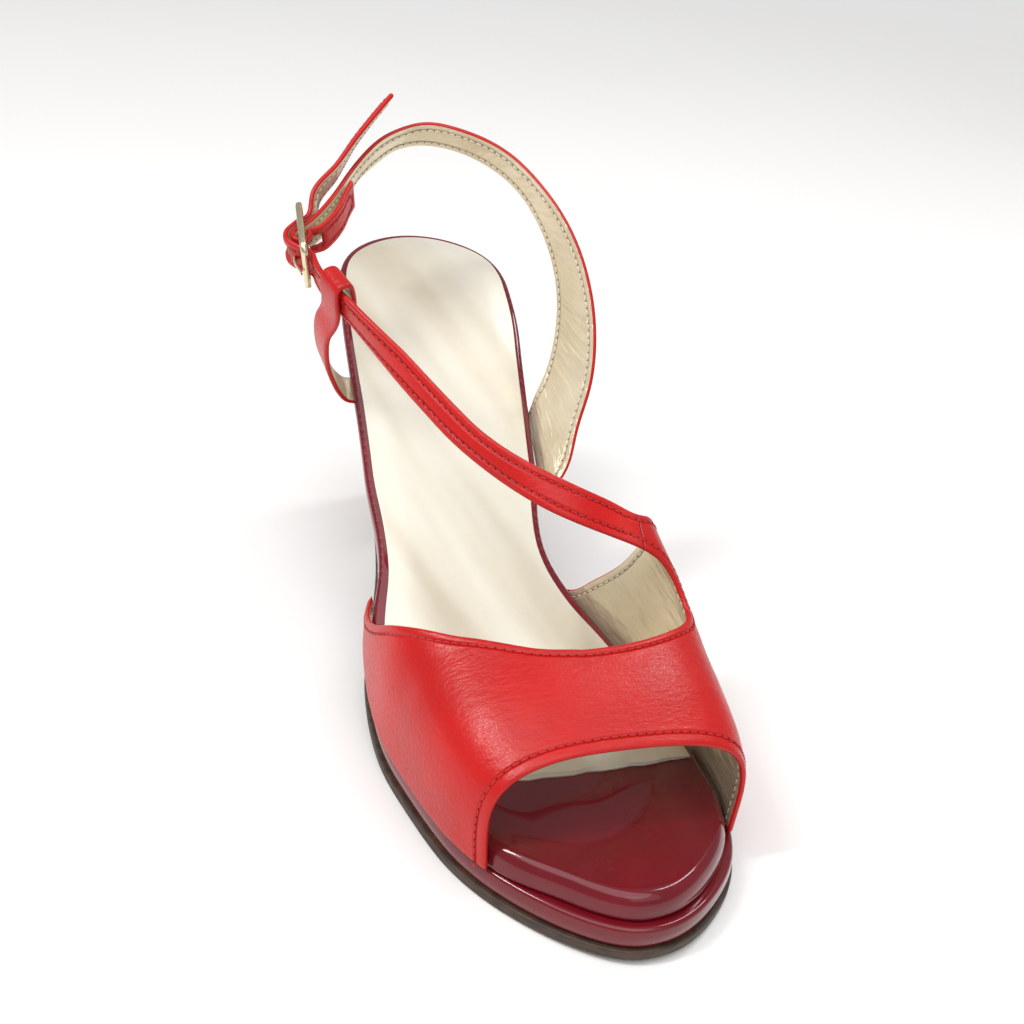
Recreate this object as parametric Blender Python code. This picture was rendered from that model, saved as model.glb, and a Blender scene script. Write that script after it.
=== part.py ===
# Peep-toe slingback sandal with a patent platform and a block heel, right shoe.
# Metres, +X towards the toe, +Y towards the inner side of the foot, +Z up.
# The origin is the middle of the heel's wearing face, on the floor.
import math

import bpy
import bmesh
from mathutils import Vector

MM = 0.001

# Driving sizes of the whole shoe
LENGTH = 222 * MM
BALL_WIDTH = 78 * MM
HEEL_RISE = 73 * MM
INSTEP_HEIGHT = 50 * MM
ANKLE_RISE = 50 * MM
TOE_SPRING = 1.5 * MM
GAP = 0.3 * MM

# Sole pieces
OUTSOLE_THICKNESS = 2.6 * MM
PLATFORM_THICKNESS = 5.4 * MM
BOARD_THICKNESS = 6.6 * MM
HEEL_BOARD_THICKNESS = 5.0 * MM
SOCK_THICKNESS = 1.0 * MM
SOCK_MARGIN = 3.0 * MM
OUTSOLE_FLANGE = 0.8 * MM
WAIST_INSET = 2.0 * MM
HEEL_ROUND = 27 * MM
TOE_ROUND = 38 * MM
TOE_LEAN = 8 * MM
BOARD_ROUND = 2.4 * MM

# Heel block
HEEL_TOP_LENGTH = 39 * MM
HEEL_FOOT_BACK = 12 * MM
HEEL_FOOT_LENGTH = 24 * MM
HEEL_FOOT_WIDTH = 26 * MM
TOP_PIECE_THICKNESS = 6 * MM

# Leather and metal
WALL = 1.5 * MM
VAMP_OVERHANG = 1.8 * MM
STRAP_WIDTH = 9 * MM
BUCKLE_LENGTH = 21 * MM
BUCKLE_WIDTH = 15.5 * MM
BUCKLE_BAR = 2.0 * MM
BUCKLE_THICKNESS = 1.8 * MM
PRONG_WIDTH = 1.6 * MM

# Where things start and stop along the shoe, as shares of its length
SOCK_END = 0.797
PLATFORM_START = 0.445
TAPER_START, TAPER_END = 0.40, 0.60
SPRING_START = 0.85
BOARD_STEP_START, BOARD_STEP_END = 0.44, 0.49
OVERHANG_START, OVERHANG_FULL = 0.49, 0.58
OVERHANG_EBB, OVERHANG_END = 0.90, 0.96

HEEL_CENTRE = HEEL_FOOT_BACK + HEEL_FOOT_LENGTH / 2
STACK = OUTSOLE_THICKNESS + PLATFORM_THICKNESS + BOARD_THICKNESS + 2 * GAP
VAMP_INSET = WALL + 3 * GAP

# Columns: share of LENGTH, inner half width, outer half width as shares of BALL_WIDTH
OUTLINE = [
    (0.00, 0.344, 0.340), (0.11, 0.344, 0.345), (0.18, 0.340, 0.360), (0.24, 0.318, 0.365),
    (0.31, 0.294, 0.366), (0.38, 0.270, 0.373), (0.446, 0.253, 0.387), (0.50, 0.265, 0.413),
    (0.545, 0.318, 0.440), (0.59, 0.397, 0.457), (0.635, 0.458, 0.464), (0.69, 0.498, 0.456),
    (0.757, 0.516, 0.420), (0.824, 0.518, 0.372), (0.88, 0.515, 0.313), (0.937, 0.495, 0.242),
    (1.00, 0.420, 0.165),
]
# Columns: share of LENGTH, share of HEEL_RISE that the board stands above its forefoot
ARCH = [
    (0.000, 1.000), (0.068, 0.953), (0.126, 0.884), (0.182, 0.800), (0.239, 0.704), (0.295, 0.604),
    (0.351, 0.503), (0.408, 0.401), (0.464, 0.304), (0.523, 0.205), (0.563, 0.140), (0.599, 0.085),
    (0.640, 0.037), (0.689, 0.008), (0.735, 0.0), (1.000, 0.0),
]
# Columns: share of LENGTH, share of INSTEP_HEIGHT over the board,
# then the lean of the crown and the bulges of both sides, as shares of BALL_WIDTH
LAST = [
    (0.500, 0.90, 0.050, 0.060, 0.010), (0.563, 0.97, 0.050, 0.080, 0.015),
    (0.599, 0.98, 0.050, 0.060, 0.020), (0.635, 0.92, 0.055, 0.040, 0.025),
    (0.662, 0.85, 0.060, 0.038, 0.030), (0.689, 0.765, 0.065, 0.035, 0.040),
    (0.725, 0.665, 0.075, 0.025, 0.045), (0.757, 0.610, 0.070, 0.018, 0.050),
    (0.820, 0.530, 0.065, 0.008, 0.050), (0.878, 0.440, 0.060, 0.000, 0.045),
    (0.940, 0.360, 0.050, 0.000, 0.035),
]
SIDE_POWER = 0.5
CROWN_POWER = 0.6

# Edges of the vamp on that last. Columns: share round the section from the outer
# side's foot to the inner side's foot, share of LENGTH
TOE_EDGE = [(0.0, 0.893), (0.25, 0.886), (0.5, 0.882), (0.75, 0.887), (1.0, 0.893)]
THROAT_EDGE = [
    (0.0, 0.509), (0.10, 0.598), (0.20, 0.665), (0.27, 0.708), (0.31, 0.727), (0.41, 0.752),
    (0.50, 0.760), (0.58, 0.755), (0.64, 0.740),
]
BACK_EDGE = [
    (0.665, 0.630), (0.75, 0.607), (0.80, 0.594), (0.86, 0.578), (0.92, 0.557), (0.963, 0.541),
    (1.0, 0.518),
]
CUT_START, CUT_BOTTOM = 0.64, 0.750
CUT_MIDDLE = 0.702
CUT_HALF = THROAT_EDGE[-1][1] - CUT_MIDDLE
SEAM = 0.665

# Instep strap from the seam to the keeper. Columns: front edge then back edge, each as a
# share of LENGTH, a share of BALL_WIDTH to the inner side and a share of ANKLE_RISE over the board
INSTEP_STRAP = [
    (0.649, 0.250, 0.836, 0.619, 0.289, 0.899), (0.643, 0.143, 0.894, 0.617, 0.191, 0.970),
    (0.626, 0.045, 0.921, 0.603, 0.071, 1.022), (0.597, -0.046, 0.919, 0.581, -0.044, 1.051),
    (0.569, -0.127, 0.919, 0.552, -0.122, 1.042), (0.535, -0.201, 0.907, 0.521, -0.187, 1.042),
    (0.499, -0.263, 0.897, 0.489, -0.252, 1.046), (0.461, -0.323, 0.883, 0.458, -0.318, 1.055),
    (0.419, -0.378, 0.859, 0.428, -0.389, 1.057), (0.375, -0.433, 0.823, 0.391, -0.452, 1.028),
]
# Sling strap from its foot on the inner side round the heel, with the same columns
SLING = [
    (0.432, 0.271, -0.100, 0.288, 0.320, -0.150), (0.429, 0.286, 0.012, 0.297, 0.322, -0.020),
    (0.419, 0.355, 0.130, 0.302, 0.334, 0.110), (0.397, 0.396, 0.270, 0.294, 0.363, 0.177),
    (0.377, 0.451, 0.489, 0.278, 0.397, 0.350), (0.350, 0.467, 0.686, 0.259, 0.403, 0.514),
    (0.314, 0.453, 0.837, 0.235, 0.383, 0.643), (0.271, 0.409, 0.941, 0.204, 0.338, 0.741),
    (0.224, 0.332, 0.998, 0.173, 0.271, 0.807), (0.181, 0.221, 1.038, 0.145, 0.172, 0.838),
    (0.148, 0.072, 1.039, 0.118, 0.056, 0.833), (0.123, -0.064, 0.995, 0.100, -0.069, 0.798),
    (0.119, -0.149, 0.941, 0.104, -0.160, 0.770), (0.127, -0.214, 0.917, 0.119, -0.231, 0.740),
    (0.144, -0.274, 0.898, 0.137, -0.301, 0.712), (0.162, -0.327, 0.879, 0.157, -0.353, 0.685),
]
# Free end past the buckle: middle line, with the same three columns, then its share of width
FREE_END = [
    (0.208, -0.494, 0.842, 1.0), (0.182, -0.409, 0.900, 1.0), (0.159, -0.338, 0.978, 1.0),
    (0.137, -0.260, 1.049, 0.95), (0.126, -0.187, 1.147, 0.35),
]
FREE_END_UP = Vector((0.82, 0.08, 0.57))
# Side tab from its foot on the outer side up to the keeper, middle line
SIDE_TAB = [
    (0.286, -0.386, -0.100), (0.289, -0.390, 0.040), (0.298, -0.450, 0.215),
    (0.308, -0.514, 0.369), (0.317, -0.540, 0.555),
]
# Middle of the buckle, in the same columns, and its directions
BUCKLE_PLACE = (0.259, -0.558, 0.780)
BUCKLE_ALONG = Vector((0.92, -0.057, -0.385)).normalized()
BUCKLE_DOWN = Vector((-0.29, 0.168, -0.94))
STRAP_COLUMNS = 6

bpy_objects = bpy.data.objects
for old in list(bpy_objects):
    bpy_objects.remove(old, do_unlink=True)


def smoothstep(start, end, value):
    t = min(max((value - start) / (end - start), 0.0), 1.0)
    return t * t * (3 - 2 * t)


def read(table, at, column=1):
    """A smooth value between the rows of a table whose first column rises."""
    rows = len(table)
    if at <= table[0][0]:
        return table[0][column]
    if at >= table[-1][0]:
        return table[-1][column]
    i = 0
    while table[i + 1][0] < at:
        i += 1

    def slope(k):
        low, high = max(k - 1, 0), min(k + 1, rows - 1)
        return (table[high][column] - table[low][column]) / (table[high][0] - table[low][0])

    step = table[i + 1][0] - table[i][0]
    t = (at - table[i][0]) / step
    value = (2 * t ** 3 - 3 * t ** 2 + 1) * table[i][column]
    value += (t ** 3 - 2 * t ** 2 + t) * step * slope(i)
    value += (3 * t ** 2 - 2 * t ** 3) * table[i + 1][column]
    value += (t ** 3 - t ** 2) * step * slope(i + 1)
    return value


# Heights of the sole's layers at a share of the length
def toe_lift(share):
    return TOE_SPRING * (max(share - SPRING_START, 0.0) / (1 - SPRING_START)) ** 2


def board_top(share):
    return STACK + toe_lift(share) + HEEL_RISE * max(read(ARCH, share), 0.0)


def board_bottom(share):
    thick = HEEL_BOARD_THICKNESS
    thick += (BOARD_THICKNESS - HEEL_BOARD_THICKNESS) * smoothstep(0.28, 0.50, share)
    return board_top(share) - thick


def outsole_top(share):
    layer = (PLATFORM_THICKNESS + GAP) * smoothstep(TAPER_START, TAPER_END, share)
    return board_bottom(share) - GAP - layer


def outsole_bottom(share):
    return outsole_top(share) - OUTSOLE_THICKNESS


# Outline of the sole seen from above
def half_widths(share):
    """Inner and outer half widths, rounded off at the heel and the toe."""
    x = share * LENGTH
    inner = read(OUTLINE, share, 1) * BALL_WIDTH
    outer = read(OUTLINE, share, 2) * BALL_WIDTH
    if x < HEEL_ROUND:
        round_off = math.sqrt(1 - (1 - x / HEEL_ROUND) ** 2)
        return inner * round_off, outer * round_off
    past = (x - (LENGTH - TOE_ROUND)) / TOE_ROUND
    if past > 0:
        round_off = max(1 - past ** 2.2, 0.0) ** (1 / 2.2)
        tip = TOE_LEAN * smoothstep(0, 1, past)
        return tip + (inner - tip) * round_off, (outer + tip) * round_off - tip
    return inner, outer


def stations(first, last, count):
    """Shares of the length, closer together towards both ends of the shoe."""
    rows = [0.5 - 0.5 * math.cos(math.pi * (k + 0.5) / count) for k in range(count)]
    low, high = (first + 0.004 if first > 0 else 0), (last - 0.004 if last < 1 else 1)
    rows = [s for s in rows if low < s < high]
    if first > 0:
        rows.insert(0, first)
    if last < 1:
        rows.append(last)
    return rows


def loop(shares, inset):
    """The outline as a closed row of flat points, moved in by inset(share, side)."""
    # where the row is cut straight across, only the side itself gives the direction
    widths = [half_widths(s) for s in shares]
    flat = [Vector((s * LENGTH, w[0])) for s, w in zip(shares, widths)]
    flat += [Vector((s * LENGTH, -w[1])) for s, w in reversed(list(zip(shares, widths)))]
    keys = [(s, 1) for s in shares] + [(s, -1) for s in reversed(shares)]
    cuts = set()
    if shares[0] > 0.01:
        cuts |= {(0, "back"), (len(flat) - 1, "front")}
    if shares[-1] < 0.99:
        cuts |= {(len(shares) - 1, "front"), (len(shares), "back")}
    points = []
    for i, point in enumerate(flat):
        before = point if (i, "back") in cuts else flat[i - 1]
        after = point if (i, "front") in cuts else flat[(i + 1) % len(flat)]
        ahead = after - before
        inward = Vector((ahead.y, -ahead.x)).normalized()
        points.append(point + inward * inset(*keys[i]))
    return points


def ring(shares, inset, height):
    """The outline as points in space, at height(share) above the floor."""
    points = []
    for point in loop(shares, inset):
        share = min(max(point.x / LENGTH, 0.0), 1.0)
        points.append(Vector((point.x - HEEL_CENTRE, point.y, height(share))))
    return points


def overhang(share, side):
    """How far the vamp stands out over the platform, on the outer side of the foot only."""
    ebb = 1 - smoothstep(OVERHANG_EBB, OVERHANG_END, share)
    swell = smoothstep(OVERHANG_START, OVERHANG_FULL, share)
    return VAMP_OVERHANG * swell * ebb if side < 0 else 0.0


def shell_inset(share, side):
    """How far the board stands in from the shoe's outline, to make room for the vamp."""
    return VAMP_INSET * smoothstep(BOARD_STEP_START, BOARD_STEP_END, share) - overhang(share, side)


def material(name, colour, roughness, metallic=0.0, coat=0.0):
    made = bpy.data.materials.new(name)
    made.use_nodes = True
    shader = made.node_tree.nodes["Principled BSDF"]
    shader.inputs["Base Color"].default_value = (*colour, 1)
    shader.inputs["Roughness"].default_value = roughness
    shader.inputs["Metallic"].default_value = metallic
    shader.inputs["Coat Weight"].default_value = coat
    made.diffuse_color = (*colour, 1)
    return made


def finish(name, bm, finish_material):
    """Turns a bmesh into a named object that is shaded smooth but for its sharp edges."""
    bmesh.ops.recalc_face_normals(bm, faces=bm.faces)
    if bm.calc_volume(signed=True) < 0:
        bmesh.ops.reverse_faces(bm, faces=bm.faces)
    mesh = bpy.data.meshes.new(name)
    bm.to_mesh(mesh)
    bm.free()
    mesh.shade_smooth()
    mesh.set_sharp_from_angle(angle=math.radians(35))
    made = bpy.data.objects.new(name, mesh)
    mesh.materials.append(finish_material)
    bpy.context.scene.collection.objects.link(made)
    return made


def stack(name, rings, finish_material):
    """A solid through closed rings from bottom to top, its ends closed by cross strips."""
    bm = bmesh.new()
    rows = [[bm.verts.new(p) for p in points] for points in rings]
    count = len(rings[0])
    for low, high in zip(rows, rows[1:]):
        for i in range(count):
            j = (i + 1) % count
            bm.faces.new((low[i], low[j], high[j], high[i]))
    for row in (rows[0], rows[-1]):
        for i in range(count // 2 - 1):
            bm.faces.new((row[i], row[i + 1], row[count - 2 - i], row[count - 1 - i]))
    return finish(name, bm, finish_material)


def layer(name, shares, inset, bottom, top, finish_material, rounding=0.0):
    """A sole layer between two heights, its upper edge rounded over."""
    rings = [ring(shares, inset, bottom)]
    if rounding:
        for angle in (0, 30, 60, 90):
            turn = math.radians(angle)
            moved, dropped = rounding * (1 - math.cos(turn)), rounding * (1 - math.sin(turn))
            rings.append(ring(shares, lambda s, side: inset(s, side) + moved, lambda s: top(s) - dropped))
    else:
        rings.append(ring(shares, inset, top))
    return stack(name, rings, finish_material)


def make_sole(leather, patent, sock_leather):
    breast = (HEEL_TOP_LENGTH + 2 * GAP) / LENGTH
    layer("outsole", stations(breast, 1, 52),
          lambda s, side: WAIST_INSET - (WAIST_INSET + OUTSOLE_FLANGE) * smoothstep(0.40, 0.55, s),
          outsole_bottom, outsole_top, leather)
    layer("platform", stations(PLATFORM_START, 1, 52), lambda s, side: 0.0,
          lambda s: outsole_top(s) + GAP, lambda s: board_bottom(s) - GAP, patent)
    layer("insole_board", stations(0, 1, 52), shell_inset, board_bottom, board_top, patent,
          BOARD_ROUND)
    layer("sock", stations(0, SOCK_END, 52), lambda s, side: shell_inset(s, side) + SOCK_MARGIN,
          lambda s: board_top(s) + GAP, lambda s: board_top(s) + GAP + SOCK_THICKNESS,
          sock_leather)


# Columns: share of the block's height, share of the way from the foot's outline to the top's
HEEL_LEVELS = [(0.0, 0.0), (0.3, 0.05), (0.55, 0.16), (0.75, 0.34), (0.88, 0.58), (0.96, 0.84), (1.0, 1.0)]


def heel_ring(level, flare, rows=15):
    """A D-shaped ring of the block: round behind, flat at the breast."""
    back = HEEL_FOOT_BACK + (1.2 * MM - HEEL_FOOT_BACK) * flare
    front_foot = HEEL_FOOT_BACK + HEEL_FOOT_LENGTH
    front = front_foot + (HEEL_TOP_LENGTH - front_foot) * flare ** 3
    sides = []
    for k in range(rows + 1):
        t = 1 - math.cos(math.pi / 2 * (k + 0.6) / (rows + 0.6))
        x = back + (front - back) * t
        foot = HEEL_FOOT_WIDTH / 2 * math.sqrt(1 - (1 - t) ** 2.4)
        inner, outer = half_widths(max(x / LENGTH, 0.002))
        inner -= 1.0 * MM
        outer -= 1.0 * MM
        roof = board_bottom(x / LENGTH) - GAP
        z = TOP_PIECE_THICKNESS + GAP + (roof - TOP_PIECE_THICKNESS - GAP) * level
        x -= HEEL_CENTRE
        sides.append((Vector((x, foot + (inner - foot) * flare, z)),
                      Vector((x, -foot - (outer - foot) * flare, z))))
    return [side[0] for side in sides] + [side[1] for side in reversed(sides)]


def make_heel(patent, tan):
    stack("heel", [heel_ring(*row) for row in HEEL_LEVELS], patent)
    foot = heel_ring(0.0, 0.0)
    low = [Vector((p.x, p.y, 0.0)) for p in foot]
    high = [Vector((p.x, p.y, TOP_PIECE_THICKNESS)) for p in foot]
    stack("heel_top_piece", [low, high], tan)


# The last that the upper is drawn on
def last_section(share, points=48):
    """One cross section from the outer side's foot over the crown to the inner side's foot."""
    inner, outer = half_widths(share)
    base = board_bottom(share) + GAP / 2
    height = read(LAST, share, 1) * INSTEP_HEIGHT + board_top(share) - base
    lean = read(LAST, share, 2) * BALL_WIDTH
    section = []
    for k in range(points + 1):
        angle = math.pi * k / points
        side = -math.cos(angle)
        rise = math.sin(angle)
        width = (inner if side > 0 else outer) + overhang(share, side) - VAMP_INSET + 2 * GAP + WALL / 2
        bulge = read(LAST, share, 3 if side > 0 else 4) * BALL_WIDTH * abs(math.sin(2 * angle))
        y = math.copysign(abs(side) ** SIDE_POWER, side) * (width + bulge) + lean * rise
        section.append(Vector((share * LENGTH - HEEL_CENTRE, y, base + height * rise ** CROWN_POWER)))
    return section


def on_last(share, around):
    """The point at a share of the length and a share of the way round the section."""
    section = last_section(share)
    lengths = [0.0]
    for a, b in zip(section, section[1:]):
        lengths.append(lengths[-1] + (b - a).length)
    target = around * lengths[-1]
    for i in range(len(section) - 1):
        if lengths[i + 1] >= target - 1e-12:
            t = (target - lengths[i]) / (lengths[i + 1] - lengths[i])
            return section[i].lerp(section[i + 1], t)
    return section[-1]


def place(share, across, over):
    """A point by shares of the length, the ball width and the ankle's rise over the board."""
    return Vector((share * LENGTH - HEEL_CENTRE, across * BALL_WIDTH,
                   board_top(share) + over * ANKLE_RISE))


def cut_sides(around):
    """Back and front of the round cut between the vamp and the strap's root."""
    t = min(max((around - CUT_START) / (CUT_BOTTOM - CUT_START), 0.0), 1.0)
    return (CUT_MIDDLE - CUT_HALF * math.sqrt(1 - t * t),
            CUT_MIDDLE + CUT_HALF * math.sqrt(1 - t ** 1.25))


def throat(around):
    return read(THROAT_EDGE, around) if around <= CUT_START else cut_sides(around)[1]


def span(start, end, count):
    return [start + (end - start) * k / count for k in range(count + 1)]


def smooth_path(points, steps):
    """Points on a smooth curve through the given ones, with steps between each pair."""
    ends = [2 * points[0] - points[1]] + list(points) + [2 * points[-1] - points[-2]]
    out = []
    for i in range(1, len(ends) - 2):
        a, b, c, d = ends[i - 1:i + 3]
        for k in range(steps):
            t = k / steps
            out.append(0.5 * (2 * b + (c - a) * t + (2 * a - 5 * b + 4 * c - d) * t * t
                              + (3 * b - a - 3 * c + d) * t ** 3))
    out.append(points[-1].copy())
    return out


def buckle_point(along, out, down=0.0):
    """A point by its distances from the middle of the buckle, in the buckle's directions."""
    forward, outward, below = buckle_axes()
    return place(*BUCKLE_PLACE) + forward * along + outward * out + below * down


def buckle_axes():
    below = (BUCKLE_DOWN - BUCKLE_ALONG * BUCKLE_DOWN.dot(BUCKLE_ALONG)).normalized()
    outward = below.cross(BUCKLE_ALONG).normalized()
    if outward.y > 0:
        outward = -outward
    return BUCKLE_ALONG, outward, below


def across(front, back):
    return [front.lerp(back, k / STRAP_COLUMNS) for k in range(STRAP_COLUMNS + 1)]


def level_row(middle, direction, width, lean=Vector((0, 0, 1))):
    """A strap's cross row at a point, square to its run, with its upper edge last."""
    up = (lean - direction * lean.dot(direction)).normalized()
    return across(middle - up * (width / 2), middle + up * (width / 2))


def strap_rows(points, widths, lean):
    """Cross rows along a middle line."""
    rows = []
    for i, point in enumerate(points):
        ahead = points[min(i + 1, len(points) - 1)] - points[max(i - 1, 0)]
        rows.append(level_row(point, ahead.normalized(), widths[i], lean))
    return rows


def edge_rows(table, steps):
    """Cross rows between two smooth edges given in one table."""
    fronts = smooth_path([place(*row[:3]) for row in table], steps)
    backs = smooth_path([place(*row[3:]) for row in table], steps)
    return [across(a, b) for a, b in zip(fronts, backs)]


# Distances round the buckle's bars that keep the layers of leather apart
FOLD_RADIUS = BUCKLE_BAR / 2 + GAP + 0.9 * MM
OVER_BAR = FOLD_RADIUS + WALL + GAP + 0.1 * MM
UNDER_BAR = -(BUCKLE_THICKNESS / 2 + WALL / 2 + 3.5 * GAP)
END_BAR = (BUCKLE_LENGTH - BUCKLE_BAR) / 2
# Columns: share of the way from the middle bar to an end bar, then out of the frame
# as a share of the way over the middle bar or under an end bar
THREAD = [(1.05, -1.0), (0.84, -0.92), (0.60, -0.02), (0.40, 0.50), (0.20, 0.89), (0.0, 1.0)]


def threaded_rows():
    """The strap inside the front bar, over the middle bar, inside the rear bar, and its free end."""
    half = [(along * END_BAR, out * OVER_BAR if out > 0 else -out * UNDER_BAR) for along, out in THREAD]
    route = [buckle_point(*p) for p in half] + [buckle_point(-x, y) for x, y in half[-2:0:-1]]
    shares = [1.0] * len(route) + [row[3] for row in FREE_END]
    forward, outward, below = buckle_axes()
    leans = [-below] * len(route)
    leans += [(-below).lerp(FREE_END_UP, min(k / 3.5, 1.0)) for k in range(1, len(FREE_END) + 1)]
    route += [place(*row[:3]) for row in FREE_END]
    points = smooth_path(route, 2)
    rows = []
    for i, point in enumerate(points):
        low, part = divmod(i, 2)
        high = min(low + 1, len(shares) - 1)
        width = STRAP_WIDTH * (shares[low] + (shares[high] - shares[low]) * part / 2)
        ahead = points[min(i + 1, len(points) - 1)] - points[max(i - 1, 0)]
        rows.append(level_row(point, ahead.normalized(), width, leans[low].lerp(leans[high], part / 2)))
    return rows


def sheet(name, rows_of_points, quads, finish_material):
    """A leather piece: a sheet of quads given its wall on both sides of its middle."""
    bm = bmesh.new()
    verts = [bm.verts.new(p) for p in rows_of_points]
    for quad in quads:
        bm.faces.new([verts[i] for i in quad])
    loose = [v for v in bm.verts if not v.link_faces]
    bmesh.ops.delete(bm, geom=loose, context="VERTS")
    bmesh.ops.recalc_face_normals(bm, faces=bm.faces)
    mesh = bpy.data.meshes.new(name)
    bm.to_mesh(mesh)
    bm.free()
    made = bpy.data.objects.new(name, mesh)
    mesh.materials.append(finish_material)
    mesh.shade_smooth()
    bpy.context.scene.collection.objects.link(made)
    wall = made.modifiers.new("wall", "SOLIDIFY")
    wall.thickness = WALL
    wall.offset = 0
    wall.use_rim = True
    return made


def ribbon(rows, start, quads, gaps=()):
    """Adds the quads of a run of equal rows; gaps names rows whose middle is left open."""
    columns = len(rows[0])
    for r in range(len(rows) - 1):
        for c in range(columns - 1):
            if r in gaps and abs(c - (columns - 2) / 2) < 1:
                continue
            i = start + r * columns + c
            quads.append((i, i + 1, i + columns + 1, i + columns))


def upper_rows():
    """The vamp's rows, then the strap's root, as points on the last."""
    front_columns, back_columns = 12, STRAP_COLUMNS
    shell = [CUT_BOTTOM * (1 - (1 - k / 28) ** 1.5) for k in range(29)]
    side = span(CUT_BOTTOM, 1.0, 9)[1:]
    vamp = []
    for around in shell:
        toe, back = read(TOE_EDGE, around), throat(around)
        vamp.append([on_last(s, around) for s in span(toe, back, front_columns)])
    wing = []
    for around in [CUT_BOTTOM] + side:
        toe, back = read(TOE_EDGE, around), read(BACK_EDGE, around)
        row = [on_last(s, around) for s in span(toe, CUT_MIDDLE, front_columns)]
        row += [on_last(s, around) for s in span(CUT_MIDDLE, back, back_columns)[1:]]
        wing.append(row)
    root = []
    for k in range(8):
        around = CUT_BOTTOM + (SEAM - CUT_BOTTOM) * (k / 7) ** 1.6
        root.append([on_last(s, around)
                     for s in span(cut_sides(around)[0], read(BACK_EDGE, around), back_columns)])
    return vamp, wing, root


def make_upper(red):
    vamp, wing, root = upper_rows()
    points, quads = [], []

    def add(rows, gaps=()):
        start = len(points)
        for row in rows:
            points.extend(row)
        ribbon(rows, start, quads, gaps)
        return start

    add(vamp)
    add(wing)
    strap = edge_rows(INSTEP_STRAP, 3)
    thread = threaded_rows()
    keeper_run = [[a.lerp(b, 0.5) for a, b in zip(strap[-1], thread[0])]]
    run = root + strap + keeper_run + thread
    hole = len(root) + len(strap) + len(keeper_run) + 4
    add(run, gaps=range(hole, hole + 4))
    upper = sheet("upper", points, quads, red)
    mesh = upper.data
    bm = bmesh.new()
    bm.from_mesh(mesh)
    bmesh.ops.remove_doubles(bm, verts=bm.verts, dist=0.01 * MM)
    bmesh.ops.recalc_face_normals(bm, faces=bm.faces)
    bm.to_mesh(mesh)
    bm.free()
    mesh.shade_smooth()


def make_sling(red):
    rows = edge_rows(SLING, 4)
    approach = [(-1.45, -9.6), (-1.0, -6.7), (-0.62, -3.9), (-0.36, -1.2)]
    fold = [buckle_point(END_BAR * along, out * MM) for along, out in approach]
    for k in range(9):
        angle = math.radians(115 - 230 * k / 8)
        fold.append(buckle_point(FOLD_RADIUS * math.cos(angle), FOLD_RADIUS * math.sin(angle)))
    lap = [(-0.24, -5.4), (-0.62, -8.8), (-1.10, -11.5), (-1.58, -13.3), (-2.05, -15.4)]
    fold += [buckle_point(END_BAR * along, out * MM) for along, out in lap]
    forward, outward, below = buckle_axes()
    fold_rows = strap_rows(fold, [STRAP_WIDTH] * len(fold), -below)
    start = rows[-1]
    for i in range(len(fold)):
        row = fold_rows[i]
        if (row[-1] - row[0]).dot(-below) < 0:
            row.reverse()
    # the sling's rows have their upper edge first, so the fold's rows are turned to match
    fold_rows = [list(reversed(row)) for row in fold_rows]
    run = rows + fold_rows
    quads = []
    gaps = range(len(rows) + 2, len(rows) + 13)
    ribbon(run, 0, quads, gaps)
    sheet("sling_strap", [p for row in run for p in row], quads, red)
    return start


def make_side_tab(red):
    """The tab rises outside the strap, goes over it and comes down on its inner side."""
    front, back = place(*INSTEP_STRAP[-1][:3]), place(*INSTEP_STRAP[-1][3:])
    middle = (front + back) / 2
    middle = middle.lerp(buckle_point(END_BAR, UNDER_BAR), 0.38)
    run = (buckle_point(END_BAR, UNDER_BAR) - (front + back) / 2).normalized()
    up = (back - front).normalized()
    up = (up - run * up.dot(run)).normalized()
    out = run.cross(up).normalized()
    if out.y > 0:
        out = -out
    half = STRAP_WIDTH / 2
    clear = WALL + 3 * GAP
    loop_points = [(-0.45 * half, clear), (0.5 * half, clear), (half + 0.75 * clear, 0.6 * clear),
                   (half + 0.75 * clear, -0.6 * clear), (0.5 * half, -clear), (-0.5 * half, -clear),
                   (-half - 0.5 * clear, -clear)]
    route = [place(*row) for row in SIDE_TAB]
    route += [middle + up * a + out * b for a, b in loop_points]
    points = smooth_path(route, 2)
    rows = []
    foot_run = Vector((-0.87, 0, 0.50)).normalized()
    for i, point in enumerate(points):
        ahead = (points[min(i + 1, len(points) - 1)] - points[max(i - 1, 0)]).normalized()
        share = min(i / (2 * len(SIDE_TAB)), 1.0)
        lean = foot_run.lerp(run, share)
        rows.append(level_row(point, ahead, STRAP_WIDTH, lean))
    quads = []
    ribbon(rows, 0, quads)
    sheet("side_tab", [p for row in rows for p in row], quads, red)


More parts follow.
